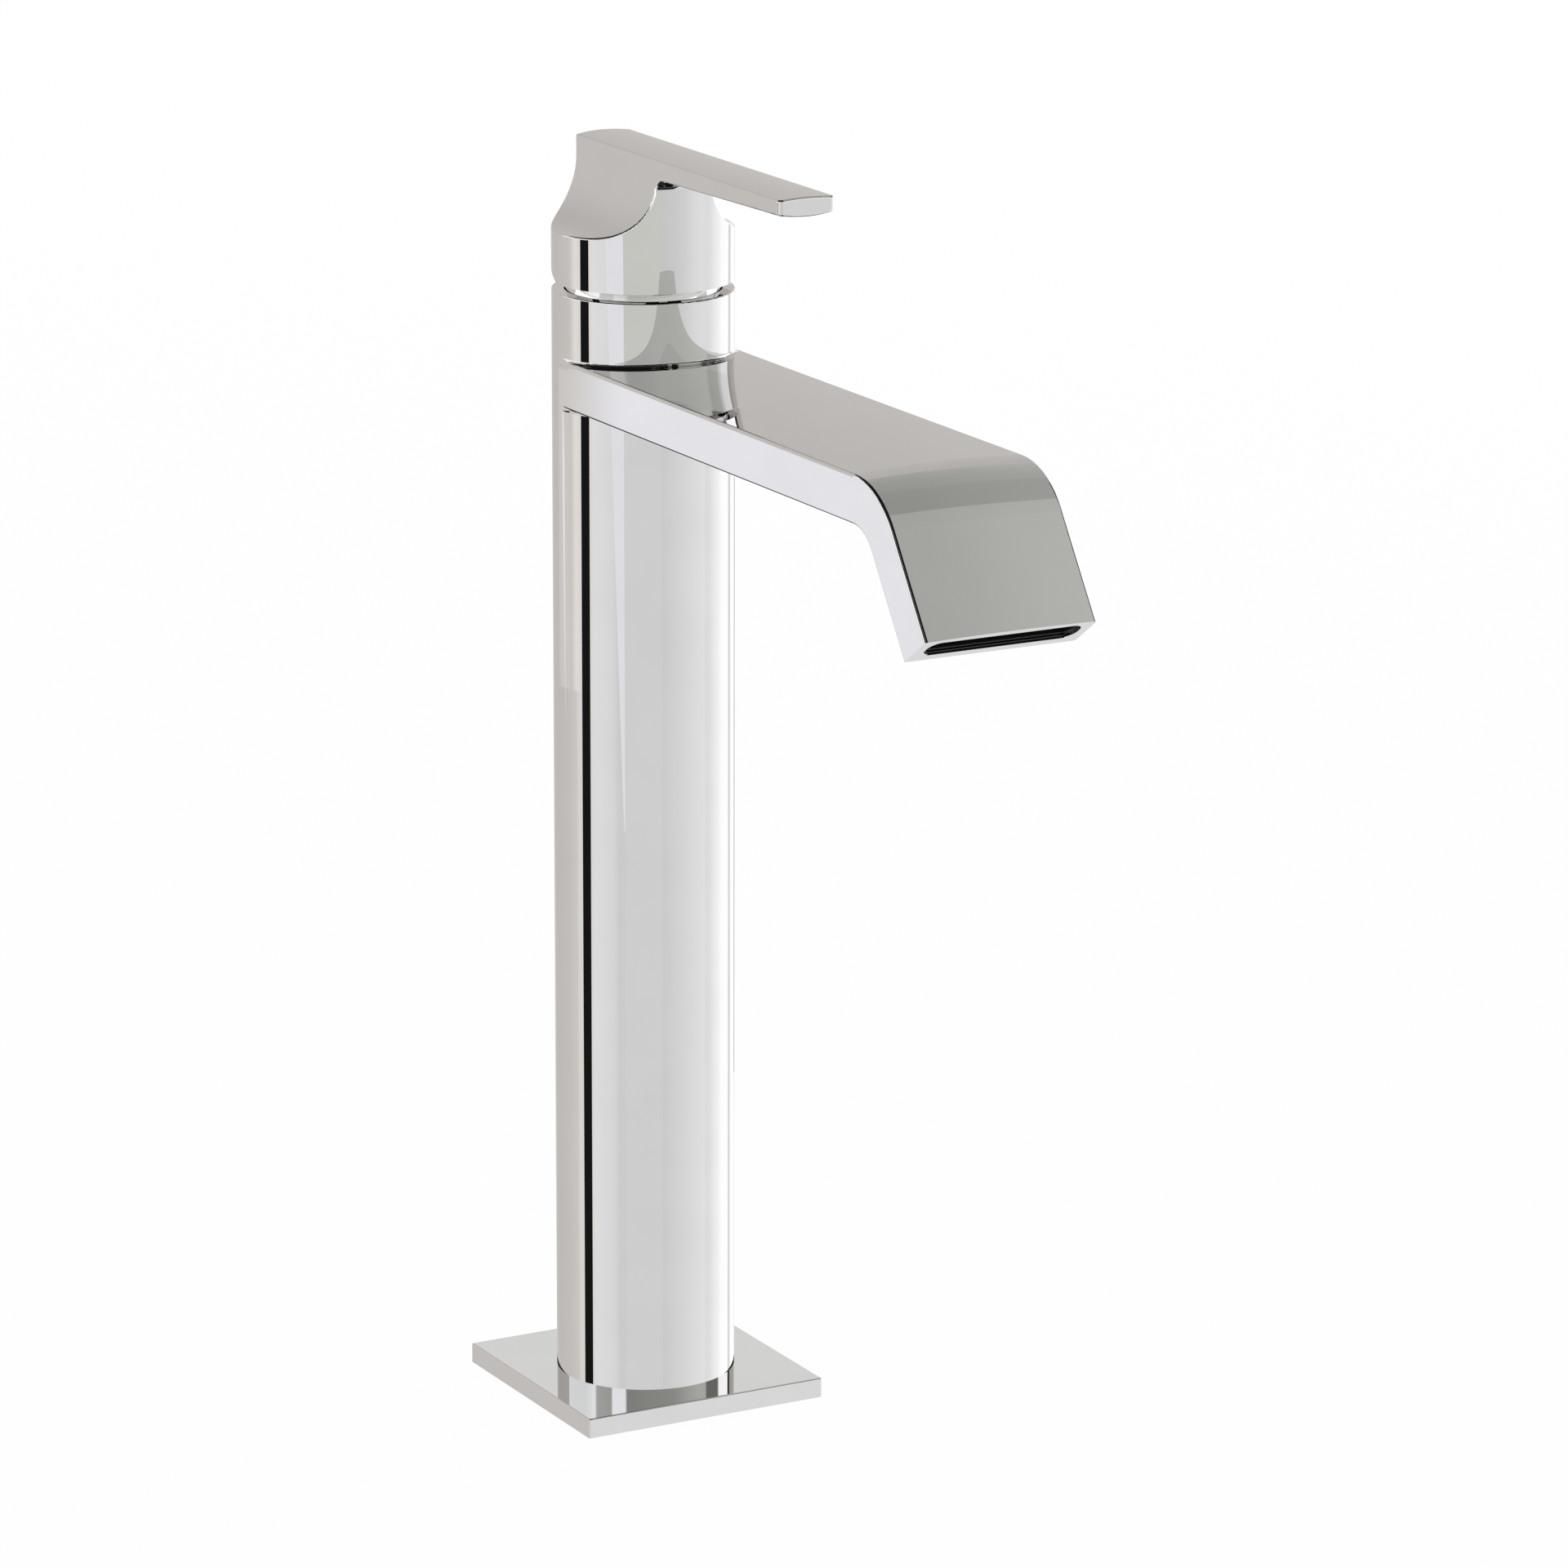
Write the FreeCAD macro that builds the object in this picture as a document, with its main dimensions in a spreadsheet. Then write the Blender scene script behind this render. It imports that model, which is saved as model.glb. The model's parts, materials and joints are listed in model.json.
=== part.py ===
import FreeCAD, Part
import math
import os
from types import SimpleNamespace

import Sketcher

# Tall single-lever basin mixer: square base plate, round column, flat bent spout and a scooped lever.
# Frame: origin under the column on the surface it stands on, +Z up, spout and lever towards -Y.
# Every length is in millimetres and every angle in degrees.

SIZES = {
    # fits shared by many pieces
    "fit_clearance": 0.1,
    "running_clearance": 0.3,
    "cut_overrun": 2.0,
    # base plate and its gasket
    "plate_side": 66.0,
    "plate_thickness": 5.0,
    "plate_round": 0.4,
    "gasket_inner_radius": 24.0,
    "gasket_width": 4.0,
    "gasket_thickness": 1.8,
    # column
    "column_radius": 22.5,
    "column_height": 282.3,
    "column_bore_radius": 19.0,
    "column_rim_round": 0.25,
    "spigot_wall": 1.8,
    "spigot_recess": 0.2,
    # cartridge seat inside the column
    "seat_depth": 34.3,
    "web_thickness": 12.0,
    # spout
    "spout_drop": 16.3,
    "spout_thickness": 11.6,
    "spout_crown": 0.8,
    "spout_reach": 157.4,
    "spout_inner_bend": 10.4,
    "spout_leg_angle": 34.4,
    "spout_leg_length": 39.1,
    "spout_top_round": 0.8,
    "spout_under_round": 0.5,
    "spout_upper_root_round": 0.9,
    "spout_lower_root_round": 0.8,
    "channel_wall": 2.8,
    "channel_side_wall": 4.5,
    # outlet in the end of the spout
    "outlet_width": 40.0,
    "outlet_front_wall": 1.3,
    "outlet_back_wall": 3.3,
    "outlet_corner": 3.0,
    "outlet_depth": 13.0,
    # aerator in the outlet
    "aerator_recess": 1.0,
    "aerator_length": 9.0,
    "aerator_wall": 0.9,
    "aerator_lip": 0.7,
    "aerator_seal_thickness": 1.6,
    "grille_thickness": 2.2,
    "grille_slat": 0.5,
    "grille_rib": 0.6,
    "grille_rib_setback": 1.2,
    "grille_columns": 6,
    "grille_rows": 3,
    "screen_gap": 0.3,
    "screen_thickness": 0.8,
    "screen_hole_radius": 0.6,
    "screen_columns": 15,
    "screen_rows": 2,
    # water inlets and foot
    "foot_height": 16.0,
    "inlet_spacing": 14.0,
    "inlet_thread_radius": 4.5,
    "inlet_thread_length": 11.0,
    "tube_radius": 5.0,
    "tube_wall": 1.0,
    "tube_socket": 7.0,
    "port_radius": 3.0,
    "stud_thread_radius": 3.4,
    "stud_offset": 12.0,
    # cartridge
    "cartridge_radius": 17.5,
    "cartridge_height": 24.0,
    "cartridge_wall": 1.6,
    "cartridge_base_thickness": 5.0,
    "window_height": 9.0,
    "window_width": 20.0,
    "neck_radius": 13.8,
    "neck_wall": 1.5,
    "neck_height": 8.5,
    "seal_wire_radius": 0.8,
    "ring_wire_radius": 0.5,
    "ring_groove_depth": 0.9,
    "fixed_disc_thickness": 4.5,
    "disc_port_radius": 2.4,
    "disc_port_spacing": 12.0,
    "moving_disc_radius": 10.4,
    "moving_disc_thickness": 4.5,
    "mixing_window_width": 11.6,
    "mixing_window_length": 3.5,
    "mixing_window_round": 1.1,
    "carrier_height": 4.5,
    # spindle guide, pin and stem
    "guide_flange_radius": 15.2,
    "guide_flange_thickness": 2.8,
    "guide_top_rise": 4.0,
    "pivot_rise": 4.0,
    "pin_radius": 1.5,
    "pin_length": 21.0,
    "stem_width": 8.0,
    "stem_shank": 5.0,
    "stem_top_rise": 23.5,
    "stem_shoulder_drop": 2.0,
    "ball_radius": 2.6,
    "ball_neck_radius": 1.4,
    "ball_neck_length": 5.0,
    "lift_travel": 20.0,
    # retaining nut and cover ring
    "nut_radius": 19.4,
    "nut_height": 8.0,
    "nut_collar_radius": 17.0,
    "nut_collar_height": 3.0,
    "cover_radius": 19.35,
    "cover_drop": 4.7,
    "cover_wall": 1.5,
    "cover_top_rise": 5.4,
    # lever handle
    "hub_gap": 2.3,
    "hub_wall": 2.9,
    "hub_side_height": 12.9,
    "hub_cavity_height": 11.4,
    "hub_cavity_chamfer": 2.5,
    "flare_radius": 15.0,
    "blade_rise": 32.9,
    "blade_crown": 0.4,
    "blade_belly": 0.8,
    "belly_root_share": 0.1,
    "blade_reach": 83.1,
    "blade_root_thickness": 4.9,
    "blade_tip_thickness": 3.6,
    "blade_tip_round": 1.2,
    "blade_edge_round": 0.5,
    "under_blade_round": 2.4,
    "flare_edge_round": 0.5,
    "relief_start": 2.7,
    "relief_angle": 21.0,
    # grub screw and index plug at the back of the hub
    "screw_rise": 17.4,
    "screw_radius": 2.4,
    "screw_length": 8.0,
    "screw_key_width": 2.5,
    "screw_key_depth": 2.6,
    "plug_radius": 3.2,
    "plug_length": 4.0,
    "plug_setback": 0.3,
    "plug_dome": 0.3,
}

os.makedirs("parts", exist_ok=True)
near_share = 0.001
hexagon_sides = 6
doc = FreeCAD.newDocument("basin_mixer")
sheet = doc.addObject("Spreadsheet::Sheet", "sizes")


class Size:
    """A value with the expression that works it out from the sheet."""

    def __init__(self, text, value):
        self.text = text
        self.value = value

    def __add__(self, other):
        other = as_size(other)
        return Size(f"({self.text} + {other.text})", self.value + other.value)

    def __sub__(self, other):
        other = as_size(other)
        return Size(f"({self.text} - {other.text})", self.value - other.value)

    def __mul__(self, other):
        other = as_size(other)
        return Size(f"({self.text} * {other.text})", self.value * other.value)

    def __truediv__(self, other):
        other = as_size(other)
        return Size(f"({self.text} / {other.text})", self.value / other.value)

    def __neg__(self):
        return Size(f"(0 - {self.text})", -self.value)


def as_size(number):
    """A plain number becomes a Size; a Size stays as it is."""
    if isinstance(number, Size):
        return number
    return Size(repr(number), number)


def sine(angle):
    return Size(f"sin({angle.text})", math.sin(math.radians(angle.value)))


def cosine(angle):
    return Size(f"cos({angle.text})", math.cos(math.radians(angle.value)))


def tangent(angle):
    return Size(f"tan({angle.text})", math.tan(math.radians(angle.value)))


def root(square):
    return Size(f"sqrt({square.text})", math.sqrt(square.value))


def larger(first, second):
    return Size(f"max({first.text}; {second.text})", max(first.value, second.value))


def smaller(first, second):
    return Size(f"min({first.text}; {second.text})", min(first.value, second.value))


def bow_radius(chord, rise):
    """The radius of an arc that rises by rise over its chord."""
    half = chord / 2
    return (half * half + rise * rise) / (rise * 2)


for row, (name, number) in enumerate(SIZES.items(), start=1):
    sheet.set(f"A{row}", name)
    sheet.set(f"B{row}", str(number))
    sheet.setAlias(f"B{row}", name)
doc.recompute()
d = SimpleNamespace(**{name: Size(f"sizes.{name}", number) for name, number in SIZES.items()})


# Heights and radii that several pieces share

seat_z = d.column_height - d.seat_depth
web_z = seat_z - d.web_thickness
spigot_radius = d.column_bore_radius + d.spigot_wall
chamber_radius = d.cartridge_radius + d.fit_clearance * 2
shoulder_z = seat_z + d.cartridge_height
nut_top_z = shoulder_z + d.nut_height
pivot_z = nut_top_z + d.pivot_rise
hub_z = d.column_height + d.hub_gap
cover_top_z = pivot_z + d.cover_top_rise
ceiling_z = larger(hub_z + d.hub_cavity_height, cover_top_z + d.hub_cavity_chamfer)
flare_z = hub_z + d.hub_side_height
blade_z = hub_z + d.blade_rise
neck_half = d.column_radius - d.flare_radius
flare_round = smaller(d.flare_radius, blade_z - d.blade_root_thickness - flare_z)
cavity_radius = d.column_radius - d.hub_wall
inlet_x = d.inlet_spacing / 2
gasket_inner = larger(d.gasket_inner_radius, spigot_radius + d.spigot_wall)

spout_top_z = d.column_height - d.spout_drop
spout_under_z = spout_top_z - d.spout_thickness
spout_outer_bend = d.spout_inner_bend + d.spout_thickness
half_turn = (as_size(90) - d.spout_leg_angle) / 2
leg_sine = sine(d.spout_leg_angle)
leg_cosine = cosine(d.spout_leg_angle)
end_front_y = -d.spout_reach - d.spout_leg_length * leg_sine
end_front_z = spout_top_z - d.spout_leg_length * leg_cosine
bend_run = spout_outer_bend * tangent(half_turn)
level_run = d.spout_reach - bend_run
crown_bow = bow_radius(d.column_radius * 2, d.spout_crown)
crown_middle_z = spout_top_z + d.spout_crown - crown_bow
root_reach = d.column_radius + d.spout_upper_root_round + d.spout_lower_root_round + d.cut_overrun

outlet_height = d.spout_thickness - d.outlet_front_wall - d.outlet_back_wall
outlet_middle = d.outlet_front_wall + outlet_height / 2
aerator_depth = d.aerator_recess + d.aerator_length + d.aerator_seal_thickness + d.fit_clearance * 2

base_z = seat_z + d.fit_clearance * 2
fixed_disc_z = base_z + d.cartridge_base_thickness + d.fit_clearance
moving_disc_z = fixed_disc_z + d.fixed_disc_thickness + d.fit_clearance
carrier_z = moving_disc_z + d.moving_disc_thickness + d.fit_clearance
carrier_top_z = carrier_z + d.carrier_height
guide_z = carrier_top_z + d.running_clearance
ball_z = carrier_z + d.ball_radius + d.fit_clearance * 4
stem_arm = pivot_z - ball_z
disc_travel = stem_arm * d.lift_travel * math.pi / 180
disc_y = disc_travel / 2
housing_inner = d.cartridge_radius - d.cartridge_wall
guide_radius = d.neck_radius - d.neck_wall - d.running_clearance


# Helpers for document objects

def bind(thing, path, size):
    """Ties a property to a size, so that it follows the sheet."""
    thing.setExpression(path, as_size(size).text)


def new_body(label):
    body = doc.addObject("PartDesign::Body", label)
    body.Label = label
    return body


def plane_of(body, role):
    return next(item for item in body.Origin.OriginFeatures if item.Role == role)


def new_sketch(body, role, offset=None):
    """A sketch on one of the body's own planes, moved along its normal."""
    sketch = body.newObject("Sketcher::SketchObject", f"{body.Name}_sketch")
    sketch.AttachmentSupport = [(plane_of(body, role), "")]
    sketch.MapMode = "FlatFace"
    if offset is not None:
        bind(sketch, "AttachmentOffset.Base.z", offset)
    return sketch


def pin_point(sketch, geometry, end, across, up):
    """Holds a point of the sketch at a place given by the sheet."""
    for kind, place, axis in (("DistanceX", across, -2), ("DistanceY", up, -1)):
        if isinstance(place, Size):
            index = sketch.addConstraint(Sketcher.Constraint(kind, -1, 1, geometry, end, place.value))
            sketch.setExpression(f"Constraints[{index}]", place.text)
        else:
            sketch.addConstraint(Sketcher.Constraint("PointOnObject", geometry, end, axis))


def value_of(place):
    return as_size(place).value


def draw_outline(sketch, corners):
    """Closes an outline through corners: (across, up), (across, up, round), (across, up, None, bend).

    A round is a tangent arc inside the corner. A bend is the radius of the side that leaves the corner:
    a positive one has its centre to the left of the way the outline runs, a negative one to the right.
    """
    count = len(corners)
    places = [FreeCAD.Vector(value_of(c[0]), value_of(c[1]), 0) for c in corners]
    rounds = [c[2] if len(c) > 2 else None for c in corners]
    bends = [c[3] if len(c) > 3 else None for c in corners]
    starts = []
    ends = []
    arcs = []
    for i, place in enumerate(places):
        if rounds[i] is None:
            starts.append(place)
            ends.append(place)
            arcs.append(None)
            continue
        before = (places[i - 1] - place).normalize()
        after = (places[(i + 1) % count] - place).normalize()
        half = before.getAngle(after) / 2
        radius = rounds[i].value
        reach = radius / math.tan(half)
        middle = place + (before + after).normalize() * (radius / math.sin(half))
        first = place + before * reach
        last = place + after * reach
        left_turn = before.cross(after).z < 0
        arcs.append((middle, radius, first, last, left_turn))
        ends.append(first)
        starts.append(last)
    sides = []
    for i in range(count):
        begin = starts[i]
        finish = ends[(i + 1) % count]
        if bends[i] is None:
            sides.append((sketch.addGeometry(Part.LineSegment(begin, finish)), 1, 2))
        else:
            sides.append(add_arc(sketch, begin, finish, bends[i].value))
    for i in range(count):
        before, _, before_end = sides[i - 1]
        after, after_start, _ = sides[i]
        if arcs[i] is None:
            sketch.addConstraint(Sketcher.Constraint("Coincident", before, before_end, after, after_start))
            pin_point(sketch, after, after_start, corners[i][0], corners[i][1])
            continue
        middle, radius, first, last, left_turn = arcs[i]
        signed = radius if left_turn else -radius
        arc, arc_start, arc_end = add_arc(sketch, first, last, signed)
        sketch.addConstraint(Sketcher.Constraint("Tangent", before, before_end, arc, arc_start))
        sketch.addConstraint(Sketcher.Constraint("Tangent", arc, arc_end, after, after_start))
        bind_radius(sketch, arc, rounds[i])
        point = sketch.addGeometry(Part.Point(places[i]))
        sketch.toggleConstruction(point)
        sketch.addConstraint(Sketcher.Constraint("PointOnObject", point, 1, before))
        sketch.addConstraint(Sketcher.Constraint("PointOnObject", point, 1, after))
        pin_point(sketch, point, 1, corners[i][0], corners[i][1])
    for i in range(count):
        if bends[i] is not None:
            size = bends[i] if bends[i].value > 0 else -bends[i]
            bind_radius(sketch, sides[i][0], size)


def add_arc(sketch, begin, finish, signed_radius):
    """Adds the shorter arc from begin to finish; gives its number and the ends that match them."""
    chord = finish - begin
    radius = abs(signed_radius)
    side = 1 if signed_radius > 0 else -1
    left = FreeCAD.Vector(-chord.y, chord.x, 0).normalize()
    depth = math.sqrt(max(radius * radius - chord.Length * chord.Length / 4, 0))
    middle = (begin + finish) / 2 + left * (depth * side)
    angles = [math.atan2(p.y - middle.y, p.x - middle.x) for p in (begin, finish)]
    circle = Part.Circle(middle, FreeCAD.Vector(0, 0, 1), radius)
    if side > 0:
        return sketch.addGeometry(Part.ArcOfCircle(circle, angles[0], angles[1])), 1, 2
    return sketch.addGeometry(Part.ArcOfCircle(circle, angles[1], angles[0])), 2, 1


def bind_radius(sketch, geometry, radius):
    index = sketch.addConstraint(Sketcher.Constraint("Radius", geometry, radius.value))
    sketch.setExpression(f"Constraints[{index}]", radius.text)


def draw_circle(sketch, across, up, radius):
    middle = FreeCAD.Vector(value_of(across), value_of(up), 0)
    circle = Part.Circle(middle, FreeCAD.Vector(0, 0, 1), radius.value)
    geometry = sketch.addGeometry(circle)
    bind_radius(sketch, geometry, radius)
    pin_point(sketch, geometry, 3, across, up)


def draw_rectangle(sketch, left, low, right, high, corner=None):
    places = [(left, low), (right, low), (right, high), (left, high)]
    draw_outline(sketch, [(across, up, corner) for across, up in places])


def finish_feature(body, feature):
    """Recomputes the new feature, so that the next one can read it."""
    body.Tip = feature
    doc.recompute()
    return feature


def pad(body, sketch, length, symmetric=False, reverse=False):
    feature = body.newObject("PartDesign::Pad", f"{body.Name}_pad")
    feature.Profile = sketch
    if symmetric:
        feature.SideType = "Symmetric"
    feature.Reversed = reverse
    bind(feature, "Length", length)
    return finish_feature(body, feature)


def pocket(body, sketch, length, symmetric=False, reverse=False):
    """Cuts the sketch into the body, and stops if that takes nothing away."""
    before = body.Shape.Volume
    feature = body.newObject("PartDesign::Pocket", f"{body.Name}_pocket")
    feature.Profile = sketch
    if symmetric:
        feature.SideType = "Symmetric"
    feature.Reversed = reverse
    bind(feature, "Length", length)
    finish_feature(body, feature)
    if not body.Shape.Volume < before:
        raise RuntimeError(f"{feature.Name} cuts nothing")
    return feature


def revolve(body, sketch, kind="PartDesign::Revolution", angle=360, axis="V_Axis", reverse=False):
    """Turns the sketch about its own upright axis, or about another one that it holds."""
    before = body.Shape.Volume if kind == "PartDesign::Groove" else None
    feature = body.newObject(kind, f"{body.Name}_turned")
    feature.Profile = sketch
    feature.ReferenceAxis = (sketch, [axis])
    bind(feature, "Angle", angle)
    feature.Reversed = reverse
    finish_feature(body, feature)
    if before is not None and not body.Shape.Volume < before:
        raise RuntimeError(f"{feature.Name} cuts nothing")
    return feature


def round_edges(body, radius, wanted):
    """Rounds the edges of the body for which wanted(edge) holds."""
    base = body.Tip
    names = [f"Edge{i}" for i, edge in enumerate(base.Shape.Edges, start=1) if wanted(edge)]
    if not names:
        raise RuntimeError(f"{body.Label} has no such edge to round")
    feature = body.newObject("PartDesign::Fillet", f"{body.Name}_round")
    feature.Base = (base, names)
    bind(feature, "Radius", radius)
    return finish_feature(body, feature)


def turned_body(label, corners):
    """A round piece: its half section turned about the column's axis."""
    body = new_body(label)
    sketch = new_sketch(body, "XZ_Plane")
    draw_outline(sketch, corners)
    revolve(body, sketch)
    return body


def near(value, size):
    return abs(value - as_size(size).value) < near_share * d.fit_clearance.value


def middle_of(edge):
    return edge.valueAt((edge.FirstParameter + edge.LastParameter) / 2)


def place_at_outlet(piece, inset):
    """Puts a piece that is drawn about the outlet's own axes into the end of the spout, inset from it."""
    set_along_leg(piece, "Placement", inset)


def set_along_leg(thing, place, inset):
    """Moves a placement to the middle of the spout's end and turns its Z axis out of the end."""
    turned = FreeCAD.Rotation(FreeCAD.Vector(1, 0, 0), 180)
    setattr(thing, place, FreeCAD.Placement(FreeCAD.Vector(0, 0, 0), turned))
    bind(thing, f"{place}.Base.y", end_front_y + outlet_middle * leg_cosine + inset * leg_sine)
    bind(thing, f"{place}.Base.z", end_front_z - outlet_middle * leg_sine + inset * leg_cosine)
    bind(thing, f"{place}.Rotation.Angle", as_size(180) - d.spout_leg_angle)


# Base plate with its gasket

def make_base_plate():
    body = new_body("base_plate")
    half = d.plate_side / 2
    sketch = new_sketch(body, "XY_Plane")
    draw_rectangle(sketch, -half, -half, half, half)
    draw_circle(sketch, 0, 0, spigot_radius + d.fit_clearance)
    pad(body, sketch, d.plate_thickness)
    round_edges(body, d.plate_round, is_plate_edge)
    groove = new_sketch(body, "XY_Plane")
    draw_circle(groove, 0, 0, gasket_inner - d.fit_clearance)
    draw_circle(groove, 0, 0, gasket_inner + d.gasket_width + d.fit_clearance)
    pocket(body, groove, d.gasket_thickness + d.fit_clearance, reverse=True)
    return body


def is_plate_edge(edge):
    """The straight edges of the plate, apart from those on the surface it stands on."""
    straight = edge.Curve.TypeId == "Part::GeomLine"
    return straight and middle_of(edge).z > 0


def make_base_gasket():
    inner = gasket_inner
    outer = inner + d.gasket_width
    low = d.fit_clearance
    high = d.gasket_thickness
    return turned_body("base_gasket", [(inner, low), (outer, low), (outer, high), (inner, high)])


# Column and spout, one casting

def make_body():
    body = new_body("body")
    add_root_slab(body)
    add_column(body)
    round_edges(body, d.spout_upper_root_round, is_upper_root_edge)
    round_edges(body, d.spout_lower_root_round, is_lower_root_edge)
    trim_root_slab(body)
    add_column(body)
    add_spout_bar(body)
    hollow_column(body)
    cut_waterway(body)
    cut_inlets(body)
    return body


def crown_z(across):
    """Height of the level run's crowned top at a distance from its middle."""
    return crown_middle_z + root(crown_bow * crown_bow - across * across)


def add_root_slab(body):
    """Short slab, wider than the column, that the rounds at the root of the spout are made on."""
    wide = root_reach
    sketch = new_sketch(body, "XZ_Plane", -root_reach)
    draw_outline(sketch, [
        (-wide, spout_under_z), (wide, spout_under_z),
        (wide, crown_z(wide), None, crown_bow), (-wide, crown_z(wide)),
    ])
    pad(body, sketch, root_reach * 2)


def is_root_edge(edge, level):
    """Part of the ring where the slab meets the column, near a level."""
    reach = d.spout_crown.value + d.fit_clearance.value
    points = points_of(edge)
    on_round = all(abs(axis_distance(p) - d.column_radius.value) < d.fit_clearance.value for p in points)
    return on_round and all(abs(p.z - level.value) < reach for p in points)


def is_upper_root_edge(edge):
    return is_root_edge(edge, spout_top_z)


def is_lower_root_edge(edge):
    return is_root_edge(edge, spout_under_z)


def trim_root_slab(body):
    """Leaves the rounds of the slab: cut flush with the spout's sides, and off the back of the column."""
    low = spout_under_z - d.spout_lower_root_round - d.cut_overrun
    high = spout_top_z + d.spout_crown + d.spout_upper_root_round + d.cut_overrun
    far = root_reach + d.cut_overrun
    flush = d.column_radius
    inside = flush - d.spout_top_round - d.spout_under_round
    sides = new_sketch(body, "XZ_Plane")
    for way in (1, -1):
        draw_outline(sides, [
            (flush * way, low), (far * way, low), (far * way, high), (flush * way, high),
            (flush * way, crown_z(inside)), (inside * way, crown_z(inside)),
            (inside * way, spout_under_z), (flush * way, spout_under_z),
        ])
    pocket(body, sides, far * 2, symmetric=True)
    back = new_sketch(body, "XZ_Plane")
    draw_rectangle(back, flush, low, far * 2, high)
    revolve(body, back, "PartDesign::Groove", angle=180)


def add_spout_bar(body):
    """Level run, bend and leg, with one crowned section from end to end."""
    level = new_sketch(body, "XZ_Plane")
    draw_section(level, spout_top_z)
    pad(body, level, level_run)
    bend = new_sketch(body, "XZ_Plane", level_run)
    draw_section(bend, spout_top_z)
    draw_axis(bend, d.column_radius, spout_top_z - spout_outer_bend)
    revolve(body, bend, angle=half_turn * 2, axis="Axis0")
    leg = new_sketch(body, "XY_Plane")
    set_along_leg(leg, "AttachmentOffset", as_size(0))
    draw_section(leg, outlet_middle)
    pad(body, leg, d.spout_leg_length - bend_run, reverse=True)


def draw_section(sketch, outer):
    """Cross-section of the spout below its crowned outer skin, with rounded corners."""
    half = d.column_radius
    inner = outer - d.spout_thickness
    draw_outline(sketch, [
        (-half, inner, d.spout_under_round), (half, inner, d.spout_under_round),
        (half, outer, d.spout_top_round, crown_bow), (-half, outer, d.spout_top_round),
    ])


def draw_axis(sketch, half, up):
    """Level line to turn the sketch about."""
    left = FreeCAD.Vector(-half.value, up.value, 0)
    right = FreeCAD.Vector(half.value, up.value, 0)
    geometry = sketch.addGeometry(Part.LineSegment(left, right), True)
    pin_point(sketch, geometry, 1, -half, up)
    pin_point(sketch, geometry, 2, half, up)


def bar_outline(inset, start_y):
    """Side outline of the spout, drawn inset from its skin, from start_y to the square-cut end."""
    top = spout_top_z - inset
    under = spout_under_z + inset
    thickness = d.spout_thickness - inset * 2
    outer_y = inset * tangent(half_turn) - d.spout_reach
    inner_y = (d.spout_thickness - inset) * tangent(half_turn) - d.spout_reach
    front_y = end_front_y + inset * leg_cosine
    front_z = end_front_z - inset * leg_sine
    return [
        (start_y, under),
        (start_y, top),
        (outer_y, top, spout_outer_bend - inset),
        (front_y, front_z),
        (front_y + thickness * leg_cosine, front_z - thickness * leg_sine),
        (inner_y, under, d.spout_inner_bend + inset),
    ]


def add_column(body):
    sketch = new_sketch(body, "XZ_Plane")
    draw_outline(sketch, [
        (0, d.spigot_recess),
        (spigot_radius, d.spigot_recess),
        (spigot_radius, d.plate_thickness),
        (d.column_radius, d.plate_thickness),
        (d.column_radius, d.column_height, d.column_rim_round),
        (0, d.column_height),
    ])
    revolve(body, sketch)


def hollow_column(body):
    sketch = new_sketch(body, "XZ_Plane")
    over = d.column_height + d.cut_overrun
    nut_bore = d.nut_radius + d.fit_clearance
    draw_outline(sketch, [
        (0, seat_z), (chamber_radius, seat_z), (chamber_radius, shoulder_z),
        (nut_bore, shoulder_z), (nut_bore, over), (0, over),
    ])
    revolve(body, sketch, "PartDesign::Groove")
    lower = new_sketch(body, "XZ_Plane")
    draw_outline(lower, [
        (0, -d.cut_overrun), (d.column_bore_radius, -d.cut_overrun),
        (d.column_bore_radius, web_z), (0, web_z),
    ])
    revolve(body, lower, "PartDesign::Groove")


def cut_waterway(body):
    channel = new_sketch(body, "YZ_Plane")
    draw_outline(channel, bar_outline(d.channel_wall, -(chamber_radius - d.cut_overrun)))
    pocket(body, channel, (d.column_radius - d.channel_side_wall) * 2, symmetric=True)
    outlet = new_sketch(body, "XY_Plane")
    set_along_leg(outlet, "AttachmentOffset", as_size(0))
    draw_slot(outlet, as_size(0))
    pocket(body, outlet, larger(d.outlet_depth, aerator_depth))


def draw_slot(sketch, inset):
    """The outlet's rounded rectangle, drawn inset from its wall."""
    half_width = d.outlet_width / 2 - inset
    half_height = outlet_height / 2 - inset
    draw_rectangle(sketch, -half_width, -half_height, half_width, half_height, d.outlet_corner - inset)


def cut_inlets(body):
    sockets = new_sketch(body, "XY_Plane", web_z)
    ports = new_sketch(body, "XY_Plane", web_z)
    for x in (-inlet_x, inlet_x):
        draw_circle(sockets, x, 0, d.tube_radius + d.fit_clearance)
        draw_circle(ports, x, 0, d.port_radius)
    pocket(body, sockets, d.tube_socket, reverse=True)
    pocket(body, ports, d.web_thickness, reverse=True)


# Foot that closes the column and takes the stud and the two hoses

def make_foot_insert():
    body = turned_body("foot_insert", [
        (0, 0), (d.column_bore_radius - d.fit_clearance, 0),
        (d.column_bore_radius - d.fit_clearance, d.foot_height), (0, d.foot_height),
    ])
    threads = new_sketch(body, "XY_Plane")
    sockets = new_sketch(body, "XY_Plane", d.inlet_thread_length)
    for x in (-inlet_x, inlet_x):
        draw_circle(threads, x, 0, d.inlet_thread_radius)
        draw_circle(sockets, x, 0, d.tube_radius + d.fit_clearance)
    pocket(body, threads, d.inlet_thread_length, reverse=True)
    pocket(body, sockets, d.foot_height, reverse=True)
    stud = new_sketch(body, "XY_Plane")
    draw_circle(stud, 0, d.stud_offset, d.stud_thread_radius)
    pocket(body, stud, d.foot_height, reverse=True)
    return body


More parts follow.
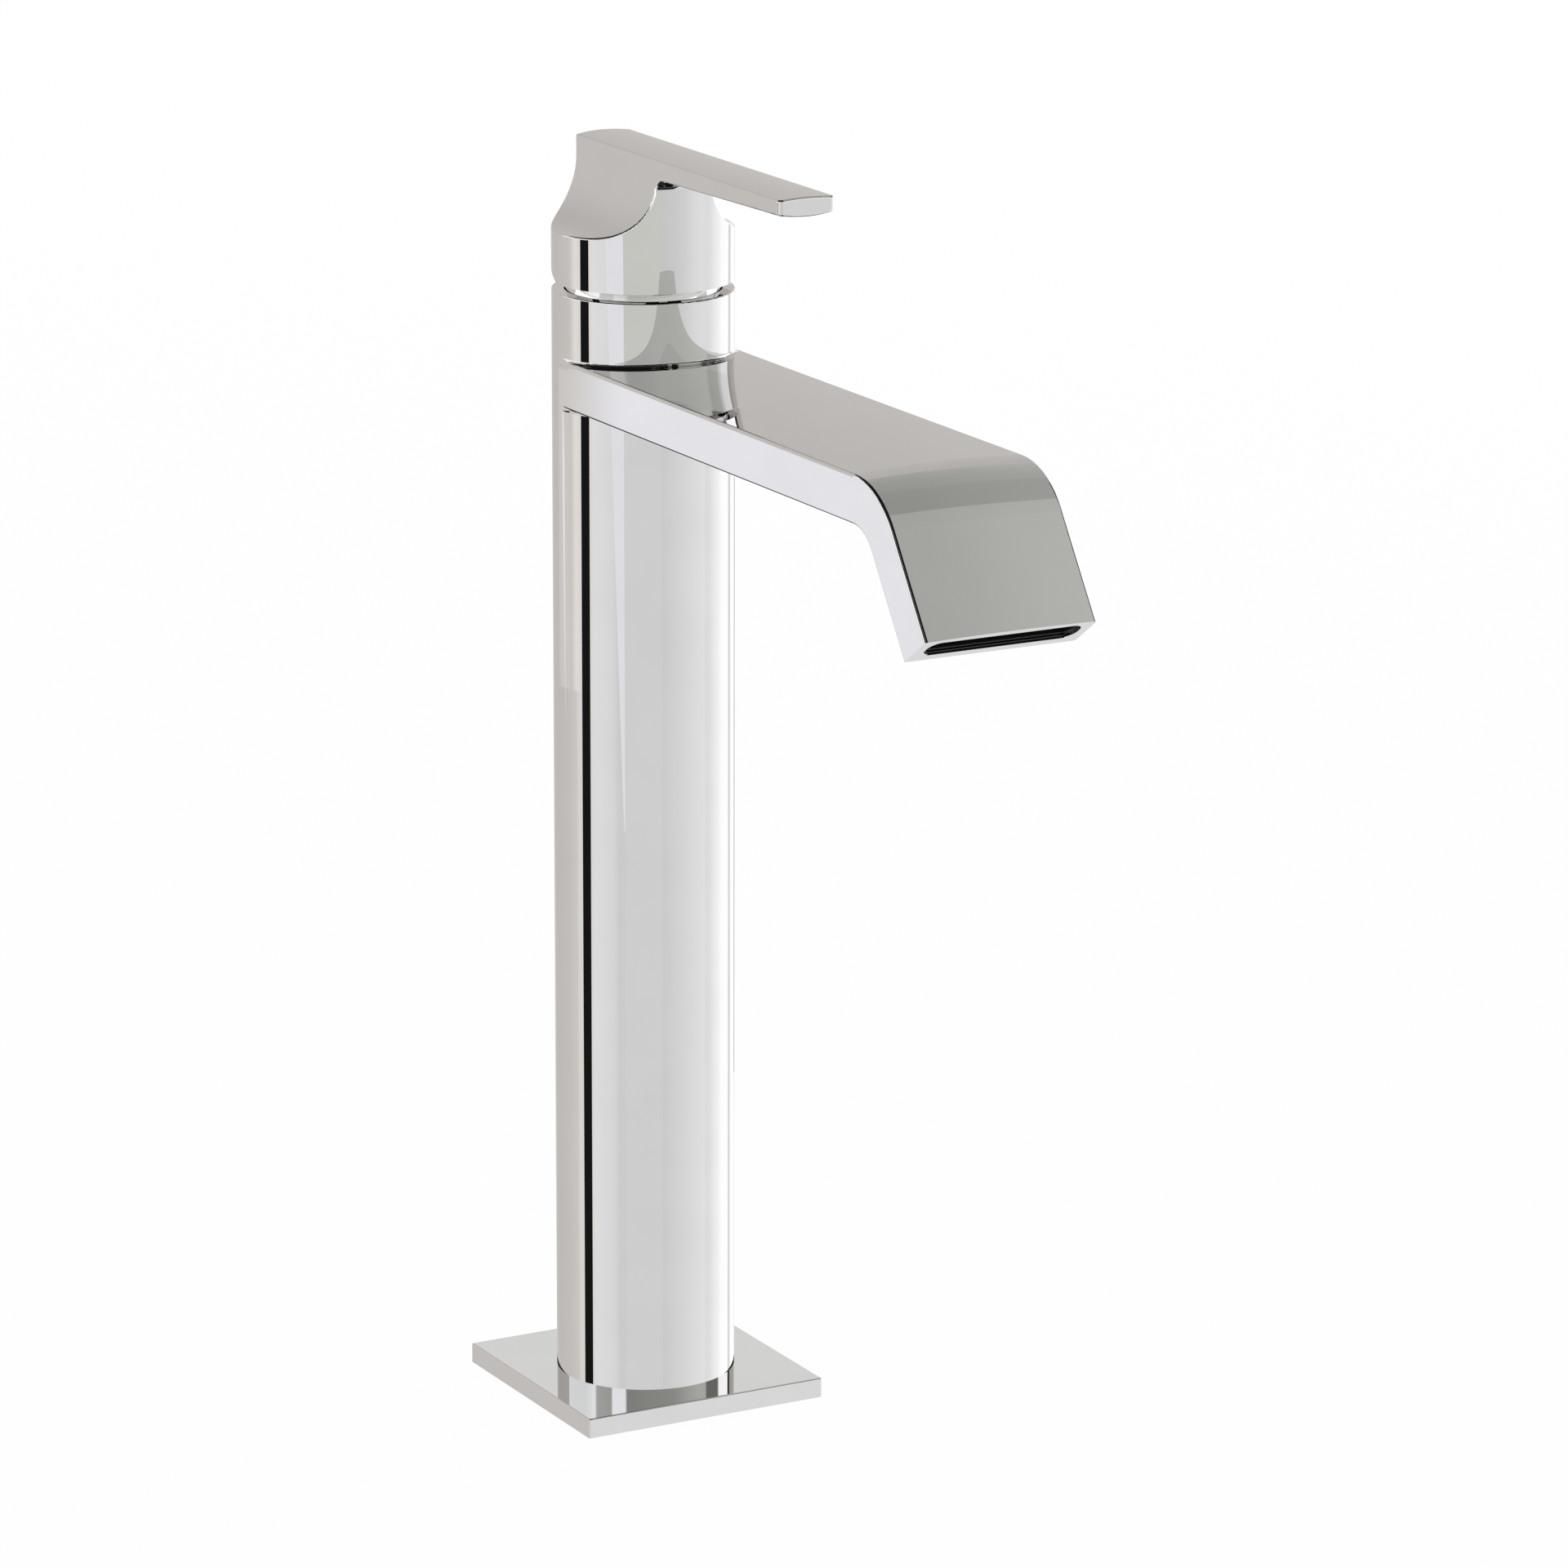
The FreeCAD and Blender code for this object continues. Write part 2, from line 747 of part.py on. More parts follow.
def make_inlet_tube(label, x):
    """A straight copper tube from the foot to its socket under the cartridge seat."""
    body = new_body(label)
    low = d.inlet_thread_length + d.fit_clearance
    high = web_z + d.tube_socket - d.fit_clearance
    sketch = new_sketch(body, "XY_Plane", low)
    draw_circle(sketch, x, 0, d.tube_radius)
    draw_circle(sketch, x, 0, d.tube_radius - d.tube_wall)
    pad(body, sketch, high - low)
    return body


def make_hot_inlet_tube():
    return make_inlet_tube("hot_inlet_tube", -inlet_x)


def make_cold_inlet_tube():
    return make_inlet_tube("cold_inlet_tube", inlet_x)


# Cartridge: fixed pieces

def make_cartridge_housing():
    inner = housing_inner
    outer = d.cartridge_radius
    neck_inner = d.neck_radius - d.neck_wall
    roof = shoulder_z - d.cartridge_wall
    neck_top = shoulder_z + d.neck_height
    groove_radius = outer - d.ring_groove_depth
    groove_z = shoulder_z - d.cartridge_wall * 2 - ring_groove_height()
    groove_top = groove_z + ring_groove_height()
    body = turned_body("cartridge_housing", [
        (inner, base_z), (outer, base_z), (outer, groove_z), (groove_radius, groove_z),
        (groove_radius, groove_top), (outer, groove_top), (outer, shoulder_z),
        (d.neck_radius, shoulder_z), (d.neck_radius, neck_top), (neck_inner, neck_top),
        (neck_inner, roof), (inner, roof),
    ])
    window = new_sketch(body, "XZ_Plane")
    half = d.window_width / 2
    window_z = spout_under_z + (d.spout_thickness - d.window_height) / 2
    draw_rectangle(window, -half, window_z, half, window_z + d.window_height, d.outlet_corner)
    pocket(body, window, outer + d.cut_overrun, reverse=True)
    return body


def ring_groove_height():
    return (d.ring_wire_radius + d.fit_clearance) * 2


def make_chamber_ring():
    """Rubber ring round the housing, above its windows."""
    groove_radius = d.cartridge_radius - d.ring_groove_depth
    ring = doc.addObject("Part::Torus", "chamber_ring")
    ring.Label = "chamber_ring"
    bind(ring, "Radius1", groove_radius + d.ring_wire_radius + d.fit_clearance / 2)
    bind(ring, "Radius2", d.ring_wire_radius)
    bind(ring, "Placement.Base.z", shoulder_z - d.cartridge_wall * 2 - ring_groove_height() / 2)
    return ring


def make_cartridge_base():
    body = turned_body("cartridge_base", [
        (0, base_z), (housing_inner - d.fit_clearance, base_z),
        (housing_inner - d.fit_clearance, base_z + d.cartridge_base_thickness),
        (0, base_z + d.cartridge_base_thickness),
    ])
    ports = new_sketch(body, "XY_Plane", base_z)
    recesses = new_sketch(body, "XY_Plane", base_z)
    for x in (-inlet_x, inlet_x):
        draw_circle(ports, x, 0, d.port_radius)
        draw_circle(recesses, x, 0, d.port_radius + d.seal_wire_radius * 2 + d.fit_clearance * 2)
    pocket(body, recesses, d.seal_wire_radius * 2 - d.fit_clearance, reverse=True)
    pocket(body, ports, d.cartridge_base_thickness, reverse=True)
    return body


def make_inlet_seals():
    """Two rubber rings, one round each inlet port, between the cartridge and its seat."""
    rings = []
    for side, x in (("hot", -inlet_x), ("cold", inlet_x)):
        ring = doc.addObject("Part::Torus", f"{side}_inlet_seal")
        bind(ring, "Radius1", d.port_radius + d.seal_wire_radius + d.fit_clearance)
        bind(ring, "Radius2", d.seal_wire_radius)
        bind(ring, "Placement.Base.x", x)
        bind(ring, "Placement.Base.z", seat_z + d.seal_wire_radius + d.fit_clearance / 2)
        rings.append(ring)
    group = doc.addObject("Part::Compound", "inlet_seals")
    group.Label = "inlet_seals"
    group.Links = rings
    return group


def make_fixed_disc():
    radius = housing_inner - d.fit_clearance * 2
    body = turned_body("fixed_disc", [
        (0, fixed_disc_z), (radius, fixed_disc_z),
        (radius, fixed_disc_z + d.fixed_disc_thickness), (0, fixed_disc_z + d.fixed_disc_thickness),
    ])
    ports = new_sketch(body, "XY_Plane", fixed_disc_z)
    for x in (-d.disc_port_spacing / 2, d.disc_port_spacing / 2):
        draw_circle(ports, x, 0, d.disc_port_radius)
    pocket(body, ports, d.fixed_disc_thickness, reverse=True)
    return body


def make_retaining_nut():
    """Ring nut on the cartridge shoulder, with a collar for the cover ring and two slots for a key."""
    low = shoulder_z + d.fit_clearance
    inner = d.neck_radius + d.running_clearance
    collar_top = nut_top_z + d.nut_collar_height
    body = turned_body("retaining_nut", [
        (inner, low), (d.nut_radius, low), (d.nut_radius, nut_top_z), (d.nut_collar_radius, nut_top_z),
        (d.nut_collar_radius, collar_top), (inner, collar_top),
    ])
    slots = new_sketch(body, "XY_Plane", collar_top)
    half = d.nut_collar_height / 2
    draw_rectangle(slots, -d.nut_radius, -half, d.nut_radius, half)
    pocket(body, slots, half)
    return body


def make_cover_ring():
    """Domed ring that closes the gap under the lever; its ball has its middle below the lever's pivot."""
    low = nut_top_z + d.fit_clearance
    high = cover_top_z
    outer = d.cover_radius
    middle = pivot_z - d.cover_drop
    inner = d.nut_collar_radius + d.fit_clearance
    hole = guide_radius + d.running_clearance * 2
    top_radius = root(outer * outer - (high - middle) * (high - middle))
    low_radius = root(outer * outer - (low - middle) * (low - middle))
    roof = high - d.cover_wall
    return turned_body("cover_ring", [
        (inner, low), (low_radius, low, None, outer), (top_radius, high), (hole, high),
        (hole, roof), (top_radius - d.cover_wall, roof), (inner, nut_top_z + d.nut_collar_height),
    ])


# Cartridge: moving pieces

def make_moving_disc():
    low = moving_disc_z
    body = new_body("moving_disc")
    sketch = new_sketch(body, "XY_Plane", low)
    draw_circle(sketch, 0, disc_y, d.moving_disc_radius)
    pad(body, sketch, d.moving_disc_thickness)
    window = new_sketch(body, "XY_Plane", low)
    half = d.mixing_window_width / 2
    near_side = disc_travel + d.disc_port_radius - d.mixing_window_length / 2
    far_side = near_side + d.mixing_window_length
    draw_rectangle(window, -half, near_side, half, far_side, d.mixing_window_round)
    pocket(body, window, d.moving_disc_thickness, reverse=True)
    return body


def make_disc_carrier():
    """Plate on the moving disc, with the round socket that the stem's ball works in."""
    body = new_body("disc_carrier")
    sketch = new_sketch(body, "XY_Plane", carrier_z)
    draw_circle(sketch, 0, disc_y, d.moving_disc_radius)
    draw_circle(sketch, 0, 0, d.ball_radius + d.running_clearance)
    pad(body, sketch, d.carrier_height)
    return body


def make_spindle_guide():
    """Turning guide in the cartridge neck: a flange below, a slot for the stem and a bore for its pin."""
    low = guide_z
    flange_top = low + d.guide_flange_thickness
    top = pivot_z + d.guide_top_rise
    body = turned_body("spindle_guide", [
        (0, low), (d.guide_flange_radius, low), (d.guide_flange_radius, flange_top),
        (guide_radius, flange_top), (guide_radius, top), (0, top),
    ])
    slot = new_sketch(body, "XY_Plane", low)
    half = d.stem_width / 2 + d.running_clearance
    front = disc_travel + d.ball_radius
    back = d.stem_width / 2 + d.guide_top_rise / 2 + d.running_clearance * 2
    draw_rectangle(slot, -half, -front, half, back)
    pocket(body, slot, top - low, reverse=True)
    bore = new_sketch(body, "YZ_Plane")
    draw_circle(bore, 0, pivot_z, d.pin_radius + d.fit_clearance / 2)
    pocket(body, bore, guide_radius * 2, symmetric=True)
    return body


def make_pivot_pin():
    pin = doc.addObject("Part::Cylinder", "pivot_pin")
    pin.Label = "pivot_pin"
    bind(pin, "Radius", d.pin_radius)
    bind(pin, "Height", d.pin_length)
    bind(pin, "Placement.Base.x", -d.pin_length / 2)
    bind(pin, "Placement.Base.z", pivot_z)
    pin.Placement.Rotation = FreeCAD.Rotation(FreeCAD.Vector(0, 1, 0), 90)
    return pin


def make_control_stem():
    """Square stem on the pin, with a slimmer shank and a ball that pushes the disc carrier."""
    body = new_body("control_stem")
    half = d.stem_width / 2
    shank = d.stem_shank / 2
    shoulder = pivot_z - d.stem_width / 2 - d.stem_shoulder_drop
    shank_z = ball_z + d.ball_neck_length
    top = pivot_z + d.stem_top_rise
    side = new_sketch(body, "YZ_Plane")
    draw_outline(side, [
        (-shank, shank_z), (shank, shank_z), (shank, shoulder), (half, shoulder + half - shank),
        (half, top, half - shank), (-half, top, half - shank), (-half, shoulder + half - shank),
        (-shank, shoulder),
    ])
    pad(body, side, d.stem_width, symmetric=True)
    bore = new_sketch(body, "YZ_Plane")
    draw_circle(bore, 0, pivot_z, d.pin_radius + d.fit_clearance)
    pocket(body, bore, d.stem_width, symmetric=True)
    ball = new_sketch(body, "XZ_Plane")
    meet = root(d.ball_radius * d.ball_radius - d.ball_neck_radius * d.ball_neck_radius)
    draw_outline(ball, [
        (0, ball_z - d.ball_radius, None, d.ball_radius), (d.ball_radius, ball_z, None, d.ball_radius),
        (d.ball_neck_radius, ball_z + meet), (d.ball_neck_radius, shank_z + d.ball_neck_radius),
        (0, shank_z + d.ball_neck_radius),
    ])
    revolve(body, ball)
    return body


# Lever handle

def make_handle():
    body = new_body("handle")
    add_hub(body)
    add_slab(body)
    cut_handle_outline(body)
    cut_belly(body)
    round_handle(body)
    hollow_hub(body)
    cut_screw_hole(body)
    relieve_skirt(body)
    return body


def add_hub(body):
    """Round hub, up into the slab that the blade is cut from."""
    top = blade_z - d.blade_tip_thickness
    sketch = new_sketch(body, "YZ_Plane")
    draw_outline(sketch, [(0, hub_z), (d.column_radius, hub_z), (d.column_radius, top), (0, top)])
    revolve(body, sketch)


def add_slab(body):
    """Wide slab over the hub, with a hollow round where its underside leaves the hub."""
    rear = d.column_radius + d.cut_overrun
    top = blade_z + d.blade_crown
    under = blade_z - larger(d.blade_root_thickness, d.blade_tip_thickness + d.blade_belly)
    side = new_sketch(body, "YZ_Plane")
    draw_rectangle(side, -d.blade_reach, under, rear, top)
    pad(body, side, (rear + d.under_blade_round) * 2, symmetric=True)
    round_edges(body, d.under_blade_round, is_under_slab_edge)
    trim = new_sketch(body, "XZ_Plane")
    draw_rectangle(trim, d.column_radius, flare_z, rear * 2, top + d.cut_overrun)
    revolve(body, trim, "PartDesign::Groove", angle=180)


def is_under_slab_edge(edge):
    """The ring where the slab's underside meets the round of the hub."""
    middle = middle_of(edge)
    return near(axis_distance(middle), d.column_radius) and middle.z > flare_z.value


def cut_handle_outline(body):
    """Hollow flares on both sides of the hub, the upright sides of neck and blade, and the crowned top."""
    far = d.column_radius + d.under_blade_round + d.cut_overrun * 2
    high = blade_z + d.blade_crown + d.cut_overrun
    crown = bow_radius(neck_half * 2, d.blade_crown)
    sketch = new_sketch(body, "XZ_Plane")
    draw_outline(sketch, [
        (-far, flare_z), (-neck_half, flare_z, flare_round), (-neck_half, blade_z, None, -crown),
        (neck_half, blade_z), (neck_half, flare_z, flare_round), (far, flare_z),
        (far, high), (-far, high),
    ])
    pocket(body, sketch, (d.blade_reach + d.cut_overrun) * 2, symmetric=True)


def cut_belly(body):
    """Rounds the underside of the free blade, from very little at the hub to the full belly at the tip."""
    root_y = -d.column_radius - d.under_blade_round
    root_belly = d.blade_belly * d.belly_root_share
    root_edge_z = blade_z - d.blade_root_thickness + root_belly * 2
    tip_edge_z = blade_z - d.blade_tip_thickness
    loft = body.newObject("PartDesign::SubtractiveLoft", "handle_belly")
    loft.Profile = draw_belly_cut(body, root_y, root_edge_z, root_belly)
    loft.Sections = [draw_belly_cut(body, -d.blade_reach, tip_edge_z, d.blade_belly)]
    loft.Ruled = True
    before = body.Shape.Volume
    finish_feature(body, loft)
    if not body.Shape.Volume < before:
        raise RuntimeError("the belly cuts nothing")


def draw_belly_cut(body, y, edge_z, belly):
    """Section of what the belly takes away: all that lies below a bow over the width of the blade."""
    sketch = new_sketch(body, "XZ_Plane", -y)
    low = edge_z - belly - d.cut_overrun
    draw_outline(sketch, [
        (-neck_half, low), (neck_half, low),
        (neck_half, edge_z, None, -bow_radius(neck_half * 2, belly)), (-neck_half, edge_z),
    ])
    return sketch


def round_handle(body):
    round_edges(body, d.blade_tip_round, is_tip_corner)
    round_edges(body, d.blade_edge_round, is_blade_under_edge)
    round_edges(body, d.flare_edge_round, is_flare_edge)
    round_edges(body, d.blade_edge_round, is_lever_top_edge)


def axis_distance(point):
    return math.hypot(point.x, point.y)


def is_tip_corner(edge):
    """Upright corners of the blade's tip."""
    middle = middle_of(edge)
    return near(middle.y, -d.blade_reach) and near(abs(middle.x), neck_half)


def points_of(edge):
    return [vertex.Point for vertex in edge.Vertexes] + [middle_of(edge)]


def is_lever_top_edge(edge):
    """Edges round the crowned top, from the tip of the blade to the back of the hub."""
    return all(point.z > blade_z.value - d.fit_clearance.value for point in points_of(edge))


def is_blade_under_edge(edge):
    """Edges round the underside of the free blade."""
    middle = middle_of(edge)
    free = -middle.y > d.column_radius.value + d.under_blade_round.value
    under = all(point.z < blade_z.value - d.blade_tip_thickness.value / 2 for point in points_of(edge))
    at_side = near(abs(middle.x), neck_half)
    at_tip = -middle.y > d.blade_reach.value - d.blade_tip_round.value
    return free and under and (at_side or at_tip)


def is_flare_edge(edge):
    """Curved edges between the flares and the round of the hub."""
    points = points_of(edge)
    on_round = all(near(axis_distance(point), d.column_radius) for point in points)
    below_blade = all(point.z < blade_z.value - d.blade_edge_round.value for point in points)
    beside_neck = abs(points[-1].x) > neck_half.value
    level = all(near(point.z, points[0].z) for point in points)
    return on_round and below_blade and beside_neck and not level


def hollow_hub(body):
    sketch = new_sketch(body, "XZ_Plane")
    draw_outline(sketch, [
        (0, hub_z - d.cut_overrun), (cavity_radius, hub_z - d.cut_overrun),
        (cavity_radius, ceiling_z - d.hub_cavity_chamfer),
        (cavity_radius - d.hub_cavity_chamfer, ceiling_z), (0, ceiling_z),
    ])
    revolve(body, sketch, "PartDesign::Groove")
    socket = new_sketch(body, "XY_Plane", ceiling_z)
    half = d.stem_width / 2 + d.fit_clearance
    draw_rectangle(socket, -half, -half, half, half)
    stem_top = pivot_z + d.stem_top_rise
    pocket(body, socket, stem_top - ceiling_z + d.running_clearance, reverse=True)


def cut_screw_hole(body):
    """Hole from the back of the hub to the stem, stepped for the index plug."""
    screw_z = hub_z + d.screw_rise
    hole = new_sketch(body, "XZ_Plane")
    draw_circle(hole, 0, screw_z, d.screw_radius + d.fit_clearance)
    pocket(body, hole, d.column_radius + d.cut_overrun)
    step = new_sketch(body, "XZ_Plane", -(d.column_radius - d.plug_setback - d.plug_length))
    draw_circle(step, 0, screw_z, d.plug_radius + d.fit_clearance)
    pocket(body, step, d.plug_length + d.cut_overrun)


def relieve_skirt(body):
    """Slanted cut under the back of the hub, so that it clears the column when the lever lifts."""
    sketch = new_sketch(body, "YZ_Plane")
    far = d.column_radius + d.cut_overrun
    rise = (far - d.relief_start) * tangent(d.relief_angle)
    low = hub_z - d.cut_overrun
    run_in = d.cut_overrun / tangent(d.relief_angle)
    draw_outline(sketch, [(d.relief_start - run_in, low), (far, low), (far, hub_z + rise)])
    pocket(body, sketch, far * 2, symmetric=True)


def make_grub_screw():
    """Socket-headed grub screw that holds the lever on the stem."""
    screw_z = hub_z + d.screw_rise
    start = d.stem_width / 2 + d.fit_clearance / 2
    body = new_body("grub_screw")
    sketch = new_sketch(body, "XZ_Plane", -start)
    draw_circle(sketch, 0, screw_z, d.screw_radius)
    pad(body, sketch, d.screw_length, reverse=True)
    key = new_sketch(body, "XZ_Plane", -(start + d.screw_length))
    half = d.screw_key_width / 2
    corner = half / cosine(as_size(180) / hexagon_sides)
    draw_outline(key, [
        (corner, screw_z), (corner / 2, screw_z + half), (-corner / 2, screw_z + half),
        (-corner, screw_z), (-corner / 2, screw_z - half), (corner / 2, screw_z - half),
    ])
    pocket(body, key, d.screw_key_depth, reverse=True)
    return body


def make_index_plug():
    """Plug with a domed face that closes the screw hole."""
    screw_z = hub_z + d.screw_rise
    inner = d.column_radius - d.plug_setback - d.plug_length + d.fit_clearance
    face = d.column_radius - d.plug_setback
    body = new_body("index_plug")
    sketch = new_sketch(body, "XY_Plane")
    draw_outline(sketch, [
        (0, 0), (d.plug_radius, 0), (d.plug_radius, face - inner - d.plug_dome, None,
                                     bow_radius(d.plug_radius * 2, d.plug_dome)), (0, face - inner),
    ])
    revolve(body, sketch)
    bind(body, "Placement.Base.y", inner)
    bind(body, "Placement.Base.z", screw_z)
    return body


# Aerator, drawn about the outlet's own axes: Z runs out of the spout

def make_aerator_housing():
    body = new_body("aerator_housing")
    sketch = new_sketch(body, "XY_Plane", -d.aerator_length)
    draw_slot(sketch, d.fit_clearance)
    draw_slot(sketch, d.fit_clearance + d.aerator_wall)
    pad(body, sketch, d.aerator_length)
    place_at_outlet(body, d.aerator_recess)
    return body


def make_aerator_grille():
    """Outlet face: slats along the slot, held by ribs across it that lie further back."""
    inset = d.fit_clearance * 2 + d.aerator_wall
    body = new_body("aerator_grille")
    sketch = new_sketch(body, "XY_Plane", -d.grille_thickness)
    draw_slot(sketch, inset)
    pad(body, sketch, d.grille_thickness)
    width = d.outlet_width - inset * 2 - d.grille_rib
    height = outlet_height - inset * 2 - d.grille_slat
    column_pitch = width / d.grille_columns
    row_pitch = height / d.grille_rows
    cell = new_sketch(body, "XY_Plane", -d.grille_thickness)
    left = d.grille_rib - (width + d.grille_rib) / 2
    low = d.grille_slat - (height + d.grille_slat) / 2
    draw_rectangle(cell, left, low, left + column_pitch - d.grille_rib, low + row_pitch - d.grille_slat)
    first = pocket(body, cell, d.grille_thickness, reverse=True)
    up = ("V_Axis", row_pitch, d.grille_rows)
    repeat_cut(body, cell, first, [("H_Axis", column_pitch, d.grille_columns), up])
    row = new_sketch(body, "XY_Plane")
    draw_rectangle(row, left, low, left + width - d.grille_rib, low + row_pitch - d.grille_slat)
    repeat_cut(body, row, pocket(body, row, d.grille_rib_setback), [up])
    place_at_outlet(body, d.aerator_recess + d.aerator_lip)
    return body


def repeat_cut(body, sketch, first, ways):
    """Repeats a cut along axes of its sketch, each way with its pitch and count."""
    repeat = body.newObject("PartDesign::MultiTransform", f"{body.Name}_cells")
    repeat.Originals = [first]
    steps = []
    for axis, pitch, count in ways:
        step = body.newObject("PartDesign::LinearPattern", f"{body.Name}_row")
        step.Direction = (sketch, [axis])
        bind(step, "Length", pitch * (count - 1))
        bind(step, "Occurrences", count)
        steps.append(step)
    repeat.Transformations = steps
    before = body.Shape.Volume
    finish_feature(body, repeat)
    if not body.Shape.Volume < before:
        raise RuntimeError(f"{repeat.Name} cuts nothing")


def make_aerator_screen():
    """Perforated plate behind the grille that breaks up the water."""
    inset = d.fit_clearance * 2 + d.aerator_wall
    body = new_body("aerator_screen")
    sketch = new_sketch(body, "XY_Plane", -d.screen_thickness)
    draw_slot(sketch, inset)
    pad(body, sketch, d.screen_thickness)
    hole = new_sketch(body, "XY_Plane", -d.screen_thickness)
    column_pitch = (d.outlet_width - inset * 2) / d.screen_columns
    row_pitch = (outlet_height - inset * 2) / d.screen_rows
    left = -column_pitch * (d.screen_columns - 1) / 2
    low = -row_pitch * (d.screen_rows - 1) / 2
    draw_circle(hole, left, low, d.screen_hole_radius)
    first = pocket(body, hole, d.screen_thickness, reverse=True)
    ways = [("H_Axis", column_pitch, d.screen_columns), ("V_Axis", row_pitch, d.screen_rows)]
    repeat_cut(body, hole, first, ways)
    place_at_outlet(body, d.aerator_recess + d.aerator_lip + d.grille_thickness + d.screen_gap)
    return body


def make_aerator_seal():
    """Rubber frame between the housing and the bottom of the outlet."""
    body = new_body("aerator_seal")
    sketch = new_sketch(body, "XY_Plane", -d.aerator_seal_thickness)
    draw_slot(sketch, d.fit_clearance)
    draw_slot(sketch, d.fit_clearance + d.aerator_wall)
    pad(body, sketch, d.aerator_seal_thickness)
    place_at_outlet(body, d.aerator_recess + d.aerator_length + d.fit_clearance)
    return body


makers = [
    make_base_plate, make_base_gasket, make_body, make_foot_insert,
    make_hot_inlet_tube, make_cold_inlet_tube,
    make_cartridge_housing, make_chamber_ring, make_cartridge_base, make_inlet_seals, make_fixed_disc,
    make_retaining_nut, make_cover_ring, make_moving_disc, make_disc_carrier, make_spindle_guide,
    make_pivot_pin, make_control_stem, make_handle, make_grub_screw, make_index_plug,
    make_aerator_housing, make_aerator_grille, make_aerator_screen, make_aerator_seal,
]
pieces = [make() for make in makers]
doc.recompute()

for item in doc.Objects:
    if "Invalid" in item.State or "Error" in item.State:
        raise RuntimeError(f"{item.Name} failed: {item.State}")
for piece in pieces:
    if piece.Shape.isNull() or not piece.Shape.isValid():
        raise RuntimeError(f"{piece.Label} has no valid shape")
for piece in pieces:
    piece.Shape.exportStep(f"parts/{piece.Label}.step")
    print(piece.Label, len(piece.Shape.Solids), round(piece.Shape.Volume, 1))
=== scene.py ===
import json
import math

import bmesh
import bpy
from mathutils import Matrix, Vector


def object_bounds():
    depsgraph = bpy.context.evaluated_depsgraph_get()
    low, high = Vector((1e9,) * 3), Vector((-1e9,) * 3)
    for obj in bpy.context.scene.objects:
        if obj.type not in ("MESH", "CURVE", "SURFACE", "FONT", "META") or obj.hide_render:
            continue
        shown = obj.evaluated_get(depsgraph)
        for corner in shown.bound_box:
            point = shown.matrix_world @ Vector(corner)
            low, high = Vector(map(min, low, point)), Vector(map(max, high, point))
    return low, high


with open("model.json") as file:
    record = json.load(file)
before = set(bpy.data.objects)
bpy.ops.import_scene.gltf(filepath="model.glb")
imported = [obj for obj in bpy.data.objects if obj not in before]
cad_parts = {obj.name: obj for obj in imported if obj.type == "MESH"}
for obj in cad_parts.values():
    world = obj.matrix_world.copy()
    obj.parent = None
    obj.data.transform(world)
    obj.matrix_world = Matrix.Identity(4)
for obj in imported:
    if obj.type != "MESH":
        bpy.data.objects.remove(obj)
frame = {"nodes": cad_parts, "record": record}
cad_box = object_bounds()

# Camera: degrees, metres, and millimetres for the lens
VIEW_AZIMUTH = -28.6643
VIEW_DOWN = 14.7726
VIEW_ROLL = 0.1508
VIEW_DISTANCE = 1.8445
VIEW_AIM = Vector((0.0305, -0.0167, 0.1566))
LENS = 170.09
SENSOR = 36.0

# Studio: metres and degrees, with azimuth 0 in front of the spout and 90 on the right
NEAR_STEP = 0.05
WALL_RADIUS = 2.4
OUTER_RADIUS = WALL_RADIUS + NEAR_STEP
INNER_RADIUS = WALL_RADIUS - NEAR_STEP
INNERMOST_RADIUS = WALL_RADIUS - 2 * NEAR_STEP
FLOOR_RADIUS = 6.0
PIT_RADIUS = 1.4
ARC_STEP = 3.0
ARC_LEAST_STEPS = 2
FULL_TURN = 360.0

# Heights: ends of the wall, foot of its front, white line at eye level, two rows of windows, and ceiling
WALL_LOW = -1.6
WALL_HIGH = 2.0
FRONT_LOW = -0.25
HORIZON_LOW = 0.12
HORIZON_HIGH = 0.43
WINDOWS_LOW = 0.5
WINDOWS_SPLIT = 0.82
WINDOWS_HIGH = 1.12
PANEL_HEIGHT = WALL_HIGH + NEAR_STEP
CEILING_HEIGHT = WALL_HIGH + 2 * NEAR_STEP

# Tints and levels of light
WARM = (1.0, 0.955, 0.92)
NEUTRAL = (1.0, 1.0, 1.0)
LAVENDER = (0.985, 0.98, 1.03)
GREENISH = (1.0, 1.01, 0.95)
PALE = (1.0, 0.995, 0.975)
COOL = (0.96, 0.985, 1.0)
BLACK_LEVEL = 0.013
SOFT_LEVEL = 0.75
FLOOR_TONE = 0.9
FLOOR_WHITE_LEVEL = 1.035
FLOOR_WHITE_SHARE = 0.94

# Cards behind the tap, as rows of azimuth, tint and level
BACKDROP_ROWS = [
    (110, WARM, 0.69), (168, WARM, 0.69), (180, WARM, 0.71), (205, WARM, 0.82), (222, WARM, 0.87),
    (236, WARM, 0.95), (240, WARM, 1.1), (246, WARM, 1.1)]
HALO_ROWS = [
    (196, WARM, 0.8), (198, WARM, 0.86), (203, WARM, 0.92), (211, WARM, 0.95), (226, WARM, 0.94)]
GLOW_ROWS = [
    (226, WARM, 0.92), (229, WARM, 0.94), (232, WARM, 1.06), (237, WARM, 1.19), (246, WARM, 1.13)]
HALO_LOW = -0.4
HALO_HIGH = -0.215
LOW_DARK_ENDS = (150, 205)
LOW_DARK_HIGH = -0.85

# Pale card close behind the base plate, as its top shows it
PLATE_CARD_ENDS = (138, 167)
PLATE_CARD_RADIUS = 0.8
PLATE_CARD_HEIGHTS = (0.17, 0.36)
PLATE_CARD_LEVEL = 0.96

